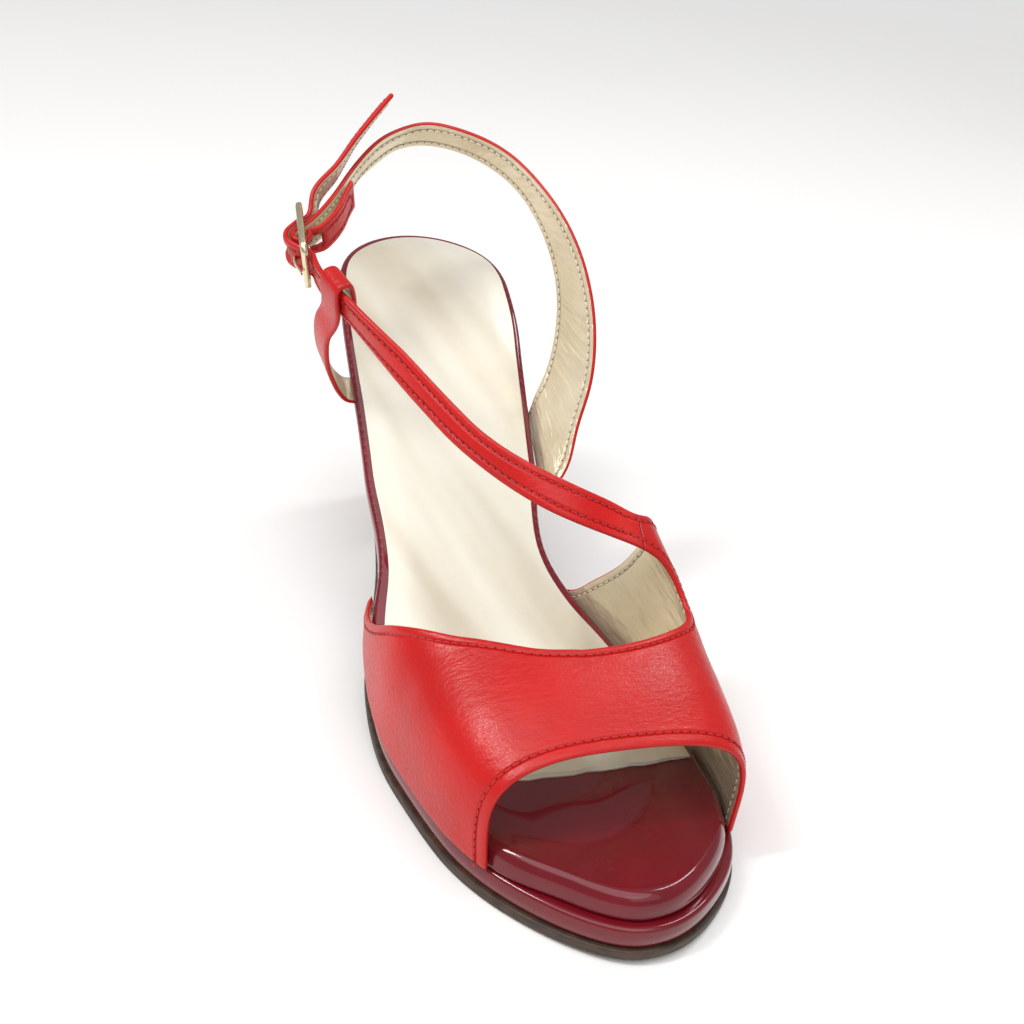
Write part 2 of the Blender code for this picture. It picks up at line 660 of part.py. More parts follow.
def make_buckle(gold):
    """A frame with a middle bar, and the prong that turns on that bar."""
    forward, outward, below = buckle_axes()
    middle = place(*BUCKLE_PLACE)
    half, bar = BUCKLE_LENGTH / 2, BUCKLE_BAR
    xs = [-half, -half + bar, -bar * 0.4, bar * 0.4, half - bar, half]
    ys = [-BUCKLE_WIDTH / 2, -BUCKLE_WIDTH / 2 + bar, BUCKLE_WIDTH / 2 - bar, BUCKLE_WIDTH / 2]
    bm = bmesh.new()

    def corner(x, y):
        trim = bar * 0.6 if abs(abs(x) - half) < 1e-9 and abs(abs(y) - BUCKLE_WIDTH / 2) < 1e-9 else 0.0
        x -= math.copysign(trim, x)
        y -= math.copysign(trim * 0.6, y)
        arch = -0.4 * MM * (x / half) ** 2
        return middle + forward * x + below * y + outward * (arch - BUCKLE_THICKNESS / 2)

    grid = [[bm.verts.new(corner(x, y)) for y in ys] for x in xs]
    for i in range(5):
        for j in range(3):
            if i % 2 == 1 and j == 1:
                continue
            bm.faces.new((grid[i][j], grid[i + 1][j], grid[i + 1][j + 1], grid[i][j + 1]))
    grown = bmesh.ops.extrude_face_region(bm, geom=list(bm.faces))
    moved = [g for g in grown["geom"] if isinstance(g, bmesh.types.BMVert)]
    bmesh.ops.translate(bm, verts=moved, vec=outward * BUCKLE_THICKNESS)
    frame = finish("buckle_frame", bm, gold)
    rounded = frame.modifiers.new("edges", "BEVEL")
    rounded.width = 0.35 * MM
    rounded.segments = 2
    rounded.limit_method = "ANGLE"
    rounded.harden_normals = False

    bm = bmesh.new()
    route = []
    reach = half + 0.6 * MM
    for k in range(7):
        angle = math.radians(-45 - 225 * k / 6)
        route.append((1.75 * MM * math.cos(angle), 1.75 * MM * math.sin(angle)))
    route += [(3.2 * MM, 2.3 * MM), (reach * 0.62, 2.3 * MM), (reach, 1.0 * MM)]
    rows = []
    for i, (x, y) in enumerate(route):
        a, b = route[max(i - 1, 0)], route[min(i + 1, len(route) - 1)]
        run = Vector((b[0] - a[0], b[1] - a[1])).normalized()
        side = Vector((-run.y, run.x)) * 0.45 * MM
        row = []
        for flat, down in ((side, -1), (side, 1), (-side, 1), (-side, -1)):
            row.append(buckle_point(x + flat.x, y + flat.y, down * PRONG_WIDTH / 2))
        rows.append([bm.verts.new(p) for p in row])
    for a, b in zip(rows, rows[1:]):
        for k in range(4):
            bm.faces.new((a[k], a[(k + 1) % 4], b[(k + 1) % 4], b[k]))
    bm.faces.new(rows[0])
    bm.faces.new(rows[-1])
    finish("buckle_prong", bm, gold)


def main():
    red = material("red_leather", (0.68, 0.03, 0.025), 0.42)
    patent = material("burgundy_patent", (0.19, 0.018, 0.028), 0.12, coat=0.8)
    sock_leather = material("sock_leather", (0.78, 0.68, 0.53), 0.45)
    sole_leather = material("sole_leather", (0.06, 0.032, 0.02), 0.6)
    heel_tip = material("heel_tip", (0.21, 0.115, 0.045), 0.55)
    gold = material("pale_gold", (0.72, 0.62, 0.36), 0.2, metallic=1.0)
    make_sole(sole_leather, patent, sock_leather)
    make_heel(patent, heel_tip)
    make_upper(red)
    make_sling(red)
    make_side_tab(red)
    make_buckle(gold)


main()
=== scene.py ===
# Red peep-toe slingback sandal on a patent platform and a block heel, right shoe.
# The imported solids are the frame. Every piece below is rebuilt finer on the same lines.
import math

import bmesh
import bpy
from mathutils import Matrix, Vector
from mathutils.kdtree import KDTree


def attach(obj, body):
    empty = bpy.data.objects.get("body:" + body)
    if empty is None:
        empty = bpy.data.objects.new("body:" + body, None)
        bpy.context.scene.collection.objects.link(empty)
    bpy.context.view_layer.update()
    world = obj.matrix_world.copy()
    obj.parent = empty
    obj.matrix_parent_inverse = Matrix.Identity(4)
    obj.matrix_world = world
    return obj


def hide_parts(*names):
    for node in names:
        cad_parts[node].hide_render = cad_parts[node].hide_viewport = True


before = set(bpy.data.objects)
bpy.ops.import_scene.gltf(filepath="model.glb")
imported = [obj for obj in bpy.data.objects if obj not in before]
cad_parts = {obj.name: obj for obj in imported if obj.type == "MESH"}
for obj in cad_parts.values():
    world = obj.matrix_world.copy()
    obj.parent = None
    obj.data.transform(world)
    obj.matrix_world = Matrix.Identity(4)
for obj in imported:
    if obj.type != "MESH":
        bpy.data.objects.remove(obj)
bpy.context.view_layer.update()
mm = 0.001

# lengths that several pieces share
shoe = {
    "length": 222 * mm, "ballWidth": 78 * mm, "heelRise": 73 * mm, "instepHeight": 50 * mm,
    "ankleRise": 50 * mm, "toeSpring": 1.5 * mm, "springStart": 0.85, "gap": 0.3 * mm,
    "wall": 1.5 * mm, "strapWidth": 9 * mm, "originX": 24 * mm,
}
layers = {
    "outsole": 2.6 * mm, "platform": 5.4 * mm, "board": 6.6 * mm, "heelBoard": 5.0 * mm,
    "sock": 0.9 * mm, "sockMargin": 3.3 * mm, "boardRound": 2.4 * mm, "flange": 0.8 * mm,
    "waistInset": 2.0 * mm, "heelRound": 27 * mm, "toeRound": 38 * mm, "toeLean": 8 * mm,
    "overhang": 1.8 * mm, "vampInset": 2.4 * mm, "crownDrop": 0.3 * mm, "crownReach": 10 * mm,
    "sockEnd": 0.797, "platformStart": 0.445, "toePower": 2.2,
    # undercut of the board under the vamp, and what the heel and waist have more
    "undercut": 0.6 * mm, "waistUndercut": 2.1 * mm,
}
# shares of the length over which one form fades into the next
fades = {
    "boardThickness": (0.28, 0.50), "platformTaper": (0.40, 0.60), "flange": (0.46, 0.60), "platformDraw": (0.47, 0.58),
    "vampInset": (0.38, 0.495), "overhang": (0.49, 0.58), "overhangEnd": (0.90, 0.96), "undercut": (0.42, 0.54),
    "roll": (0.5, 0.7), "gather": (0.46, 0.56), "sockTrim": (0.01, 0.08), "sockTrimEnd": (0.45, 0.56),
}
layers["stack"] = layers["outsole"] + layers["platform"] + layers["board"] + 2 * shoe["gap"]

# share of length, inner and outer half width as shares of ballWidth
outline = [
    (0.00, 0.344, 0.340), (0.11, 0.344, 0.345), (0.18, 0.340, 0.360), (0.24, 0.318, 0.365),
    (0.31, 0.294, 0.366), (0.38, 0.270, 0.373), (0.446, 0.253, 0.387), (0.50, 0.265, 0.413),
    (0.545, 0.318, 0.440), (0.59, 0.397, 0.457), (0.635, 0.458, 0.464), (0.69, 0.498, 0.456),
    (0.757, 0.516, 0.420), (0.824, 0.518, 0.372), (0.88, 0.515, 0.313), (0.937, 0.495, 0.242),
    (1.00, 0.420, 0.165),
]
# share of length, share of heelRise
arch = [
    (0.000, 1.000), (0.068, 0.953), (0.126, 0.884), (0.182, 0.800), (0.239, 0.704), (0.295, 0.604),
    (0.351, 0.503), (0.408, 0.401), (0.464, 0.304), (0.523, 0.205), (0.563, 0.140), (0.599, 0.085),
    (0.640, 0.037), (0.689, 0.008), (0.735, 0.0), (1.000, 0.0),
]


# --- curves and lines that the pieces are drawn on ---

def smoothStep(start, end, value):
    t = min(max((value - start) / (end - start), 0.0), 1.0)
    return t * t * (3 - 2 * t)


def readTable(table, at, column=1):
    rows = len(table)
    if at <= table[0][0]:
        return table[0][column]
    if at >= table[-1][0]:
        return table[-1][column]
    i = 0
    while table[i + 1][0] < at:
        i += 1

    def slope(k):
        low, high = max(k - 1, 0), min(k + 1, rows - 1)
        return (table[high][column] - table[low][column]) / (table[high][0] - table[low][0])

    step = table[i + 1][0] - table[i][0]
    t = (at - table[i][0]) / step
    value = (2 * t ** 3 - 3 * t ** 2 + 1) * table[i][column]
    value += (t ** 3 - 2 * t ** 2 + t) * step * slope(i)
    value += (3 * t ** 2 - 2 * t ** 3) * table[i + 1][column]
    value += (t ** 3 - t ** 2) * step * slope(i + 1)
    return value


def boardTop(share):
    lift = shoe["toeSpring"] * (max(share - shoe["springStart"], 0.0) / (1 - shoe["springStart"])) ** 2
    return layers["stack"] + lift + shoe["heelRise"] * max(readTable(arch, share), 0.0)


def boardBottom(share):
    thick = layers["heelBoard"] + (layers["board"] - layers["heelBoard"]) * smoothStep(*fades["boardThickness"], share)
    return boardTop(share) - thick


def outsoleTop(share):
    full = smoothStep(*fades["platformTaper"], share)
    return boardBottom(share) - shoe["gap"] - (layers["platform"] + shoe["gap"]) * full


def halfWidths(share):
    x = share * shoe["length"]
    inner = readTable(outline, share, 1) * shoe["ballWidth"]
    outer = readTable(outline, share, 2) * shoe["ballWidth"]
    if x < layers["heelRound"]:
        roundOff = math.sqrt(1 - (1 - x / layers["heelRound"]) ** 2)
        return inner * roundOff, outer * roundOff
    past = (x - (shoe["length"] - layers["toeRound"])) / layers["toeRound"]
    if past > 0:
        roundOff = max(1 - past ** layers["toePower"], 0.0) ** (1 / layers["toePower"])
        tip = layers["toeLean"] * smoothStep(0, 1, past)
        return tip + (inner - tip) * roundOff, (outer + tip) * roundOff - tip
    return inner, outer


def stations(first, last, count):
    rows = [0.5 - 0.5 * math.cos(math.pi * (k + 0.5) / count) for k in range(count)]
    low, high = (first + 0.004 if first > 0 else 0), (last - 0.004 if last < 1 else 1)
    rows = [s for s in rows if low < s < high]
    return ([first] if first > 0 else []) + rows + ([last] if last < 1 else [])


def overhang(share, side):
    swell = smoothStep(*fades["overhang"], share) * (1 - smoothStep(*fades["overhangEnd"], share))
    return layers["overhang"] * swell if side < 0 else 0.0


def shellInset(share, side):
    return layers["vampInset"] * smoothStep(*fades["vampInset"], share) - overhang(share, side)


def rollRadius(share):
    # the patent turns tightly at the heel and waist, and broadly at the toe
    return layers["boardRound"] * (0.6 + 0.75 * smoothStep(*fades["roll"], share))


def undercut(share):
    return layers["undercut"] + layers["waistUndercut"] * (1 - smoothStep(*fades["undercut"], share))


def rollDrop(share):
    return rollRadius(share) * (1.05 + 0.5 * smoothStep(*fades["roll"], share))


def crownDrop(inset):
    return layers["crownDrop"] * (1 - smoothStep(0, layers["crownReach"], inset)) ** 2


def flatLoop(shares):
    # points, inward directions and keys of the outline
    widths = [halfWidths(s) for s in shares]
    flat = [Vector((s * shoe["length"], w[0])) for s, w in zip(shares, widths)]
    flat += [Vector((s * shoe["length"], -w[1])) for s, w in reversed(list(zip(shares, widths)))]
    keys = [(s, 1) for s in shares] + [(s, -1) for s in reversed(shares)]
    count, rows = len(flat), len(shares)
    inward = []
    for i in range(count):
        before, after = flat[i - 1], flat[(i + 1) % count]
        if shares[0] > 0.01 and i in (0, count - 1):  # a straight cut at the back
            before, after = (flat[i], after) if i == 0 else (before, flat[i])
        if shares[-1] < 0.99 and i in (rows - 1, rows):  # a straight cut at the front
            before, after = (before, flat[i]) if i == rows - 1 else (flat[i], after)
        ahead = after - before
        inward.append(Vector((ahead.y, -ahead.x)).normalized())
    return flat, inward, keys


def ringOf(loop, inset, height):
    points = []
    for flat, inward, key in zip(*loop):
        p = flat + inward * inset(*key)
        share = min(max(p.x / shoe["length"], 0.0), 1.0)
        points.append(Vector((p.x - shoe["originX"], p.y, height(share))))
    return points


def smoothPath(points, steps):
    ends = [2 * points[0] - points[1]] + list(points) + [2 * points[-1] - points[-2]]
    out = []
    for i in range(1, len(ends) - 2):
        a, b, c, d = ends[i - 1:i + 3]
        for k in range(steps):
            t = k / steps
            out.append(0.5 * (2 * b + (c - a) * t + (2 * a - 5 * b + 4 * c - d) * t * t
                              + (3 * b - a - 3 * c + d) * t ** 3))
    out.append(points[-1].copy())
    return out


# --- shader node groups ---

def addNode(tree, kind, values=None, **settings):
    # a node with its settings, each named input linked or given its constant
    node = tree.nodes.new(kind)
    for label, value in settings.items():
        setattr(node, label, value)
    for label, value in (values or {}).items():
        if isinstance(value, bpy.types.NodeSocket):
            tree.links.new(value, node.inputs[label])
        else:
            node.inputs[label].default_value = value
    return node


def newGroup(name, inputs, outputs):
    # an input without a starting value is a vector
    tree = bpy.data.node_groups.new(name, "ShaderNodeTree")
    for label, value in inputs.items():
        kind = "NodeSocketVector" if value is None else "NodeSocketFloat"
        socket = tree.interface.new_socket(label, in_out="INPUT", socket_type=kind)
        if value is not None:
            socket.default_value = value
    for label in outputs:
        tree.interface.new_socket(label, in_out="OUTPUT", socket_type="NodeSocketFloat")
    return tree, tree.nodes.new("NodeGroupInput").outputs, tree.nodes.new("NodeGroupOutput").inputs


def mathNode(tree, operation, *values, clamp=False):
    return addNode(tree, "ShaderNodeMath", dict(enumerate(values)), operation=operation, use_clamp=clamp).outputs[0]


def mapRange(tree, value, low, high, toLow=0.0, toHigh=1.0):
    values = {"Value": value, "From Min": low, "From Max": high, "To Min": toLow, "To Max": toHigh}
    return addNode(tree, "ShaderNodeMapRange", values, interpolation_type="SMOOTHSTEP").outputs["Result"]


def mixColor(tree, factor, a, b):
    # the mix node's colours are its inputs 6 and 7, and its output 2
    a, b = (value if isinstance(value, bpy.types.NodeSocket) else (*value, 1) for value in (a, b))
    return addNode(tree, "ShaderNodeMix", {0: factor, 6: a, 7: b}, data_type="RGBA").outputs[2]


def noiseNode(tree, vector, scale, detail=3.0, rough=0.55):
    values = {"Vector": vector, "Scale": scale, "Detail": detail, "Roughness": rough}
    return addNode(tree, "ShaderNodeTexNoise", values).outputs["Fac"]


def grainGroup():
    # fine leather grain: closed cells, pores and a soft large unevenness
    tree, given, result = newGroup("leatherGrain", {
        "Position": None, "Cell Scale": 1500.0, "Crease Scale": 900.0, "Crease Depth": 0.5},
        ["Height", "Mottle", "Pores"])
    cells = addNode(tree, "ShaderNodeTexVoronoi", {
        "Vector": given["Position"], "Scale": given["Cell Scale"], "Smoothness": 0.35}, feature="SMOOTH_F1")
    drawn = addNode(tree, "ShaderNodeVectorMath", {0: given["Position"], 1: (1.0, 0.3, 0.7)}, operation="MULTIPLY")
    creases = addNode(tree, "ShaderNodeTexNoise", {
        "Vector": drawn.outputs[0], "Scale": given["Crease Scale"], "Detail": 4.0, "Distortion": 0.4})
    depth = mathNode(tree, "MULTIPLY", mapRange(tree, creases.outputs["Fac"], 0.34, 0.62), given["Crease Depth"])
    body = mathNode(tree, "MULTIPLY", cells.outputs["Distance"], -0.5)
    tree.links.new(mathNode(tree, "ADD", body, depth), result["Height"])
    tree.links.new(noiseNode(tree, given["Position"], 38.0, 4.0), result["Mottle"])
    tree.links.new(mapRange(tree, cells.outputs["Distance"], 0.30, 0.62), result["Pores"])
    return tree


def edgeGroup():
    # what the distance to a turned edge gives: the stitch groove, the painted shade of the rolled rim and a seam's line
    tree, given, result = newGroup("edgeFinish", {
        "Distance": 1.0, "Seam": 1.0, "Stitch Inset": 2.1 * mm, "Groove Width": 0.75 * mm},
        ["Groove", "Rim Shade", "Seam Line"])
    off = mathNode(tree, "ABSOLUTE", mathNode(tree, "SUBTRACT", given["Distance"], given["Stitch Inset"]))
    tree.links.new(mapRange(tree, off, 0.0, given["Groove Width"], 1.0, 0.0), result["Groove"])
    tree.links.new(mapRange(tree, given["Distance"], 0.15 * mm, 1.3 * mm, 1.0, 0.0), result["Rim Shade"])
    tree.links.new(mapRange(tree, given["Seam"], 0.0, 0.35 * mm, 1.0, 0.0), result["Seam Line"])
    return tree


def wearGroup():
    # light handling marks and dust, the same on every finish
    tree, given, result = newGroup("handlingMarks", {"Position": None, "Scale": 60.0, "Amount": 0.3}, ["Mask", "Fine"])
    scaled = addNode(tree, "ShaderNodeVectorMath", operation="SCALE")
    tree.links.new(given["Position"], scaled.inputs[0])
    tree.links.new(given["Scale"], scaled.inputs["Scale"])
    mask = mapRange(tree, noiseNode(tree, scaled.outputs[0], 1.0, 6.0, 0.6), 0.48, 0.72)
    tree.links.new(mathNode(tree, "MULTIPLY", mask, given["Amount"]), result["Mask"])
    tree.links.new(noiseNode(tree, scaled.outputs[0], 14.0, 3.0, 0.6), result["Fine"])
    return tree


grain, edges, marks = grainGroup(), edgeGroup(), wearGroup()


def newMaterial(name, settings):
    made = bpy.data.materials.new(name)
    made.use_nodes = True
    tree = made.node_tree
    surface = tree.nodes["Principled BSDF"].inputs
    for label, value in settings.items():
        surface[label].default_value = value
    return made, tree, surface, tree.nodes.new("ShaderNodeTexCoord").outputs["Object"]


def useGroup(tree, group, values):
    return addNode(tree, "ShaderNodeGroup", values, node_tree=group).outputs


def attribute(tree, name):
    return addNode(tree, "ShaderNodeAttribute", attribute_name=name).outputs["Fac"]


def bumpInto(tree, surface, height, strength, distance, under=None):
    values = {"Height": height, "Strength": strength, "Distance": distance}
    if under is not None:
        values["Normal"] = under
    bump = addNode(tree, "ShaderNodeBump", values).outputs["Normal"]
    tree.links.new(bump, surface["Normal"])
    return bump


def leatherFinish(name, base, deep, rough, creaseDepth, ripple=0.0, metal=0.0, grainDepth=0.07, spec=0.5):
    # smooth upper leather or lining, with its turned edge and stitch groove; the groove and the rolled rim are darkened
    # as painted shade
    made, tree, surface, place = newMaterial(name, {
        "Roughness": rough, "Metallic": metal, "Coat Roughness": 0.3, "Specular IOR Level": spec})
    skin = useGroup(tree, grain, {"Position": place, "Cell Scale": 1700.0, "Crease Depth": creaseDepth})
    edge = useGroup(tree, edges, {"Distance": attribute(tree, "edgeDistance"), "Seam": attribute(tree, "seamDistance")})
    worn = useGroup(tree, marks, {"Position": place, "Amount": 0.5})
    shade = mixColor(tree, mapRange(tree, skin["Mottle"], 0.3, 0.72), deep, base)
    # painted shade lightly darkens the stitch groove; the seam's line across the strip is its own dark joint
    grooveShadeAndSeam = mathNode(tree, "MAXIMUM", mathNode(tree, "MULTIPLY", edge["Groove"], 0.15),
                    mathNode(tree, "MULTIPLY", edge["Seam Line"], 0.8))
    shade = mixColor(tree, grooveShadeAndSeam, shade, tuple(c * 0.55 for c in deep))
    # painted shade: the colour turns towards the deep red close to the turned edge, where the rim rolls away from the
    # light
    shade = mixColor(tree, mathNode(tree, "MULTIPLY", edge["Rim Shade"], 0.3), shade, deep)
    tree.links.new(shade, surface["Base Color"])
    gloss = mathNode(tree, "MULTIPLY_ADD", skin["Pores"], 0.10, rough - 0.03)
    gloss = mathNode(tree, "MULTIPLY_ADD", worn["Mask"], 0.08, gloss)
    tree.links.new(mathNode(tree, "MULTIPLY_ADD", worn["Fine"], 0.05, gloss, clamp=True), surface["Roughness"])
    form = mathNode(tree, "MULTIPLY_ADD", edge["Groove"], -1.0, mathNode(tree, "MULTIPLY", edge["Seam Line"], -1.0))
    if ripple:
        # creases across the strip, gathered in broad folds
        across = mathNode(tree, "MULTIPLY", attribute(tree, "runAcross"), 0.22)
        strip = addNode(tree, "ShaderNodeCombineXYZ", {"X": attribute(tree, "runAlong"), "Y": across}).outputs[0]
        folds = mapRange(tree, noiseNode(tree, strip, 190.0, 1.0, 0.4), 0.42, 0.64)
        creases = mathNode(tree, "MULTIPLY_ADD", folds, 0.5, noiseNode(tree, strip, 620.0, 2.0, 0.5))
        form = mathNode(tree, "MULTIPLY_ADD", creases, ripple, form)
    first = bumpInto(tree, surface, form, 0.9, 0.32 * mm)
    bumpInto(tree, surface, skin["Height"], 0.8, grainDepth * mm, first)
    return made


def patentFinish(name, base, deep):
    # lacquered leather: a deep colour under a hard clear coat that ripples a little
    made, tree, surface, place = newMaterial(name, {
        "Roughness": 0.3, "Coat Weight": 1.0, "Coat Roughness": 0.03, "Specular IOR Level": 0.12, "Coat IOR": 1.42})
    worn = useGroup(tree, marks, {"Position": place, "Scale": 90.0, "Amount": 0.6})
    depth = mapRange(tree, noiseNode(tree, place, 30.0), 0.3, 0.7)
    tree.links.new(mixColor(tree, depth, deep, base), surface["Base Color"])
    tree.links.new(mathNode(tree, "MULTIPLY_ADD", worn["Mask"], 0.12, 0.24), surface["Roughness"])
    # gathers where the patent is turned over the rim of the board
    beat = mathNode(tree, "MULTIPLY", attribute(tree, "runAlong"), 2 * math.pi / (2.3 * mm))
    wobble = mathNode(tree, "MULTIPLY_ADD", noiseNode(tree, place, 220.0, 1.0), 5.0, beat)
    gather = mathNode(tree, "MULTIPLY", mathNode(tree, "SINE", wobble), attribute(tree, "gather"))
    wave = mathNode(tree, "MULTIPLY_ADD", noiseNode(tree, place, 60.0, 1.0), 0.15, gather)
    bumpInto(tree, surface, wave, 0.8, 0.16 * mm)
    return made


def plainFinish(name, base, deep, rough, scale, bump, stretch=(1, 1, 1), metal=0.0):
    # cut sole edge, rubber, thread or metal: broken colour and a fine surface
    made, tree, surface, place = newMaterial(name, {"Roughness": rough, "Metallic": metal})
    mapping = addNode(tree, "ShaderNodeMapping", {"Vector": place, "Scale": stretch})
    worn = useGroup(tree, marks, {"Position": place, "Scale": 110.0, "Amount": 0.7})
    fibre = noiseNode(tree, mapping.outputs[0], scale, 4.0, 0.6)
    tree.links.new(mixColor(tree, mapRange(tree, fibre, 0.32, 0.68), deep, base), surface["Base Color"])
    gloss = mathNode(tree, "MULTIPLY_ADD", worn["Mask"], 0.15, rough)
    tree.links.new(mathNode(tree, "MULTIPLY_ADD", worn["Fine"], 0.06, gloss, clamp=True), surface["Roughness"])
    bumpInto(tree, surface, fibre, 0.7, bump * mm)
    return made


def sockFinish():
    # pale metallic sock leather, with slanting soft bands that are a little raised and glossier, and painted lighter as
    # a sheen
    made, tree, surface, place = newMaterial("sockLeather", {
        "Roughness": 0.42, "Metallic": 0.25, "Coat Weight": 0.15, "Coat Roughness": 0.35})
    skin = useGroup(tree, grain, {"Position": place, "Cell Scale": 1900.0, "Crease Depth": 0.25})
    slant = addNode(tree, "ShaderNodeMapping", {
        "Vector": place, "Rotation": (0, 0, math.radians(24)), "Scale": (0.13, 0.017, 0.13)}, vector_type="TEXTURE")
    sheenBands = mapRange(tree, noiseNode(tree, slant.outputs[0], 1.0, 2.0, 0.4), 0.38, 0.66)
    base = mixColor(tree, mapRange(tree, skin["Mottle"], 0.3, 0.7), (0.56, 0.50, 0.39), (0.63, 0.575, 0.46))
    # painted sheen: the bands lighten the base colour towards a pale highlight
    base = mixColor(tree, mathNode(tree, "MULTIPLY", sheenBands, 0.7), base, (0.84, 0.81, 0.72))
    tree.links.new(base, surface["Base Color"])
    gloss = mathNode(tree, "MULTIPLY_ADD", sheenBands, -0.12, 0.46)
    tree.links.new(mathNode(tree, "MULTIPLY_ADD", skin["Pores"], 0.10, gloss), surface["Roughness"])
    first = bumpInto(tree, surface, sheenBands, 0.6, 0.35 * mm)
    bumpInto(tree, surface, skin["Height"], 0.6, 0.05 * mm, first)
    return made


finishes = {
    "red": leatherFinish("redLeather", (0.58, 0.007, 0.006), (0.47, 0.005, 0.004), 0.29, 0.6, spec=0.4),
    "lining": leatherFinish("paleLining", (0.86, 0.78, 0.60), (0.70, 0.60, 0.42), 0.30, 0.5, ripple=1.2, metal=0.5,
                            grainDepth=0.05),
    "patent": patentFinish("burgundyPatent", (0.19, 0.006, 0.014), (0.13, 0.004, 0.010)),
    "sock": sockFinish(),
}
plainFinishes = [
    # finish, material, light and deep colour, roughness, noise scale, bump in mm, stretch, metal
    ("soleEdge", "soleLeather", (0.075, 0.040, 0.024), (0.030, 0.017, 0.012), 0.5, 240.0, 0.10, (1, 1, 6), 0.0),
    ("heelTip", "heelTip", (0.26, 0.155, 0.07), (0.17, 0.095, 0.04), 0.55, 700.0, 0.05, (1, 1, 3), 0.0),
    ("gold", "paleGold", (0.80, 0.73, 0.50), (0.72, 0.64, 0.42), 0.2, 900.0, 0.012, (1, 1, 1), 1.0),
    ("redThread", "redThread", (0.62, 0.016, 0.014), (0.45, 0.010, 0.009), 0.5, 2400.0, 0.05, (1, 1, 1), 0.0),
    ("paleThread", "paleThread", (0.86, 0.80, 0.68), (0.70, 0.62, 0.48), 0.6, 2400.0, 0.05, (1, 1, 1), 0.0),
    # the two hole finishes colour dark beads, painted as the shade inside the needle holes
    ("redHoleShade", "redHoleShade", (0.110, 0.008, 0.007), (0.060, 0.005, 0.004), 0.8, 2400.0, 0.05, (1, 1, 1), 0.0),
    ("paleHoleShade", "paleHoleShade", (0.26, 0.20, 0.13), (0.17, 0.13, 0.08), 0.8, 2400.0, 0.05, (1, 1, 1), 0.0),
]
for label, *look in plainFinishes:
    finishes[label] = plainFinish(*look)
print("finishes ready")


# --- building meshes ---

def newPiece(name, bm, materials, sharpAngle=40):
    mesh = bpy.data.meshes.new(name)
    bm.to_mesh(mesh)
    bm.free()
    mesh.shade_smooth()
    if sharpAngle:
        mesh.set_sharp_from_angle(angle=math.radians(sharpAngle))
    for finish in materials:
        mesh.materials.append(finishes[finish])
    piece = bpy.data.objects.new(name, mesh)
    bpy.context.scene.collection.objects.link(piece)
    return piece


def closedPiece(name, bm, materials, sharpAngle=40):
    bmesh.ops.recalc_face_normals(bm, faces=bm.faces)
    if bm.calc_volume(signed=True) < 0:
        bmesh.ops.reverse_faces(bm, faces=bm.faces)
    return newPiece(name, bm, materials, sharpAngle)


def skinRows(bm, rows):
    # quads between rings that have as many points each
    for low, high in zip(rows, rows[1:]):
        for i in range(len(low)):
            j = (i + 1) % len(low)
            bm.faces.new((low[i], low[j], high[j], high[i]))


def loftRings(rings, values=None):
    # closed rings from bottom to top, both ends closed by cross strips
    bm = bmesh.new()
    fields = {label: bm.verts.layers.float.new(label) for label in (values or {})}
    rows = []
    for r, points in enumerate(rings):
        row = [bm.verts.new(p) for p in points]
        for label, field in fields.items():
            for i, vert in enumerate(row):
                vert[field] = values[label](r, i)
        rows.append(row)
    skinRows(bm, rows)
    count = len(rings[0])
    for row in (rows[0], rows[-1]):
        for i in range(count // 2 - 1):
            bm.faces.new((row[i], row[i + 1], row[count - 2 - i], row[count - 1 - i]))
    return bm


def layerRings(loop, inset, bottom, top, lowRound, topRound, segments, bulge=0.0, topDrop=None):
    # side of a sole layer: lower edge, a slightly swelling wall, upper edge
    def room(share):
        return 0.56 * max(top(share) - bottom(share), 0.0)

    def lowerRound(share):
        return min(lowRound(share) if callable(lowRound) else lowRound, room(share))

    def upperRound(share):
        return min(topRound(share) if callable(topRound) else topRound, room(share))

    def upperDrop(share):
        return topDrop(share) if topDrop else upperRound(share)

    rings = []
    for k in range(segments + 1):
        turn = math.pi / 2 * k / segments
        rings.append(ringOf(loop, lambda s, side: inset(s, side) + lowerRound(s) * (1 - math.sin(turn)),
                            lambda s: bottom(s) + lowerRound(s) * (1 - math.cos(turn))))
    for k in range(1, 4):
        t = k / 4
        rings.append(ringOf(loop, lambda s, side: inset(s, side) - bulge * math.sin(math.pi * t),
                            lambda s: (bottom(s) + lowerRound(s)) * (1 - t) + (top(s) - upperDrop(s)) * t))
    for k in range(segments + 1):
        turn = math.pi / 2 * k / segments
        rings.append(ringOf(loop, lambda s, side: inset(s, side) + upperRound(s) * (1 - math.cos(turn)),
                            lambda s: top(s) - upperDrop(s) * (1 - math.sin(turn))))
    return rings


def crownRings(loop, inset, top, start, reach):
    # the slightly domed upper face, from its rounded edge inwards
    rings = []
    for k in range(1, 9):
        moved = reach * k / 8
        rings.append(ringOf(loop, lambda s, side: inset(s, side) + moved,
                            lambda s: top(s) - crownDrop(start + moved)))
    return rings


# --- outsole, platform, board and sock ---

soleShape = {
    "stations": 170, "breast": 39.6 * mm, "outsoleRound": 0.45 * mm, "platformLow": 0.9 * mm,
    "platformTop": 1.1 * mm, "platformBulge": 0.2 * mm, "sockRound": 0.25 * mm, "sockPress": 0.35 * mm,
    "sideTrim": 1.2 * mm, "sockBow": 2.5 * mm, "sockLow": 0.1 * mm, "pressReach": 7 * mm, "platformDraw": 2.6 * mm,
    "bowReach": 25 * mm, "bowHalf": 38 * mm, "bowMiddle": 2 * mm, "cutPitch": 3.7 * mm,
}


def makeOutsole():
    loop = flatLoop(stations(soleShape["breast"] / shoe["length"], 1, soleShape["stations"]))
    step, edge = layers["waistInset"] + layers["flange"], soleShape["outsoleRound"]
    rings = layerRings(loop, lambda s, side: layers["waistInset"] - step * smoothStep(*fades["flange"], s),
                       lambda s: outsoleTop(s) - layers["outsole"], outsoleTop, edge, edge, 4)
    return closedPiece("outsoleLeather", loftRings(rings), ["soleEdge"])


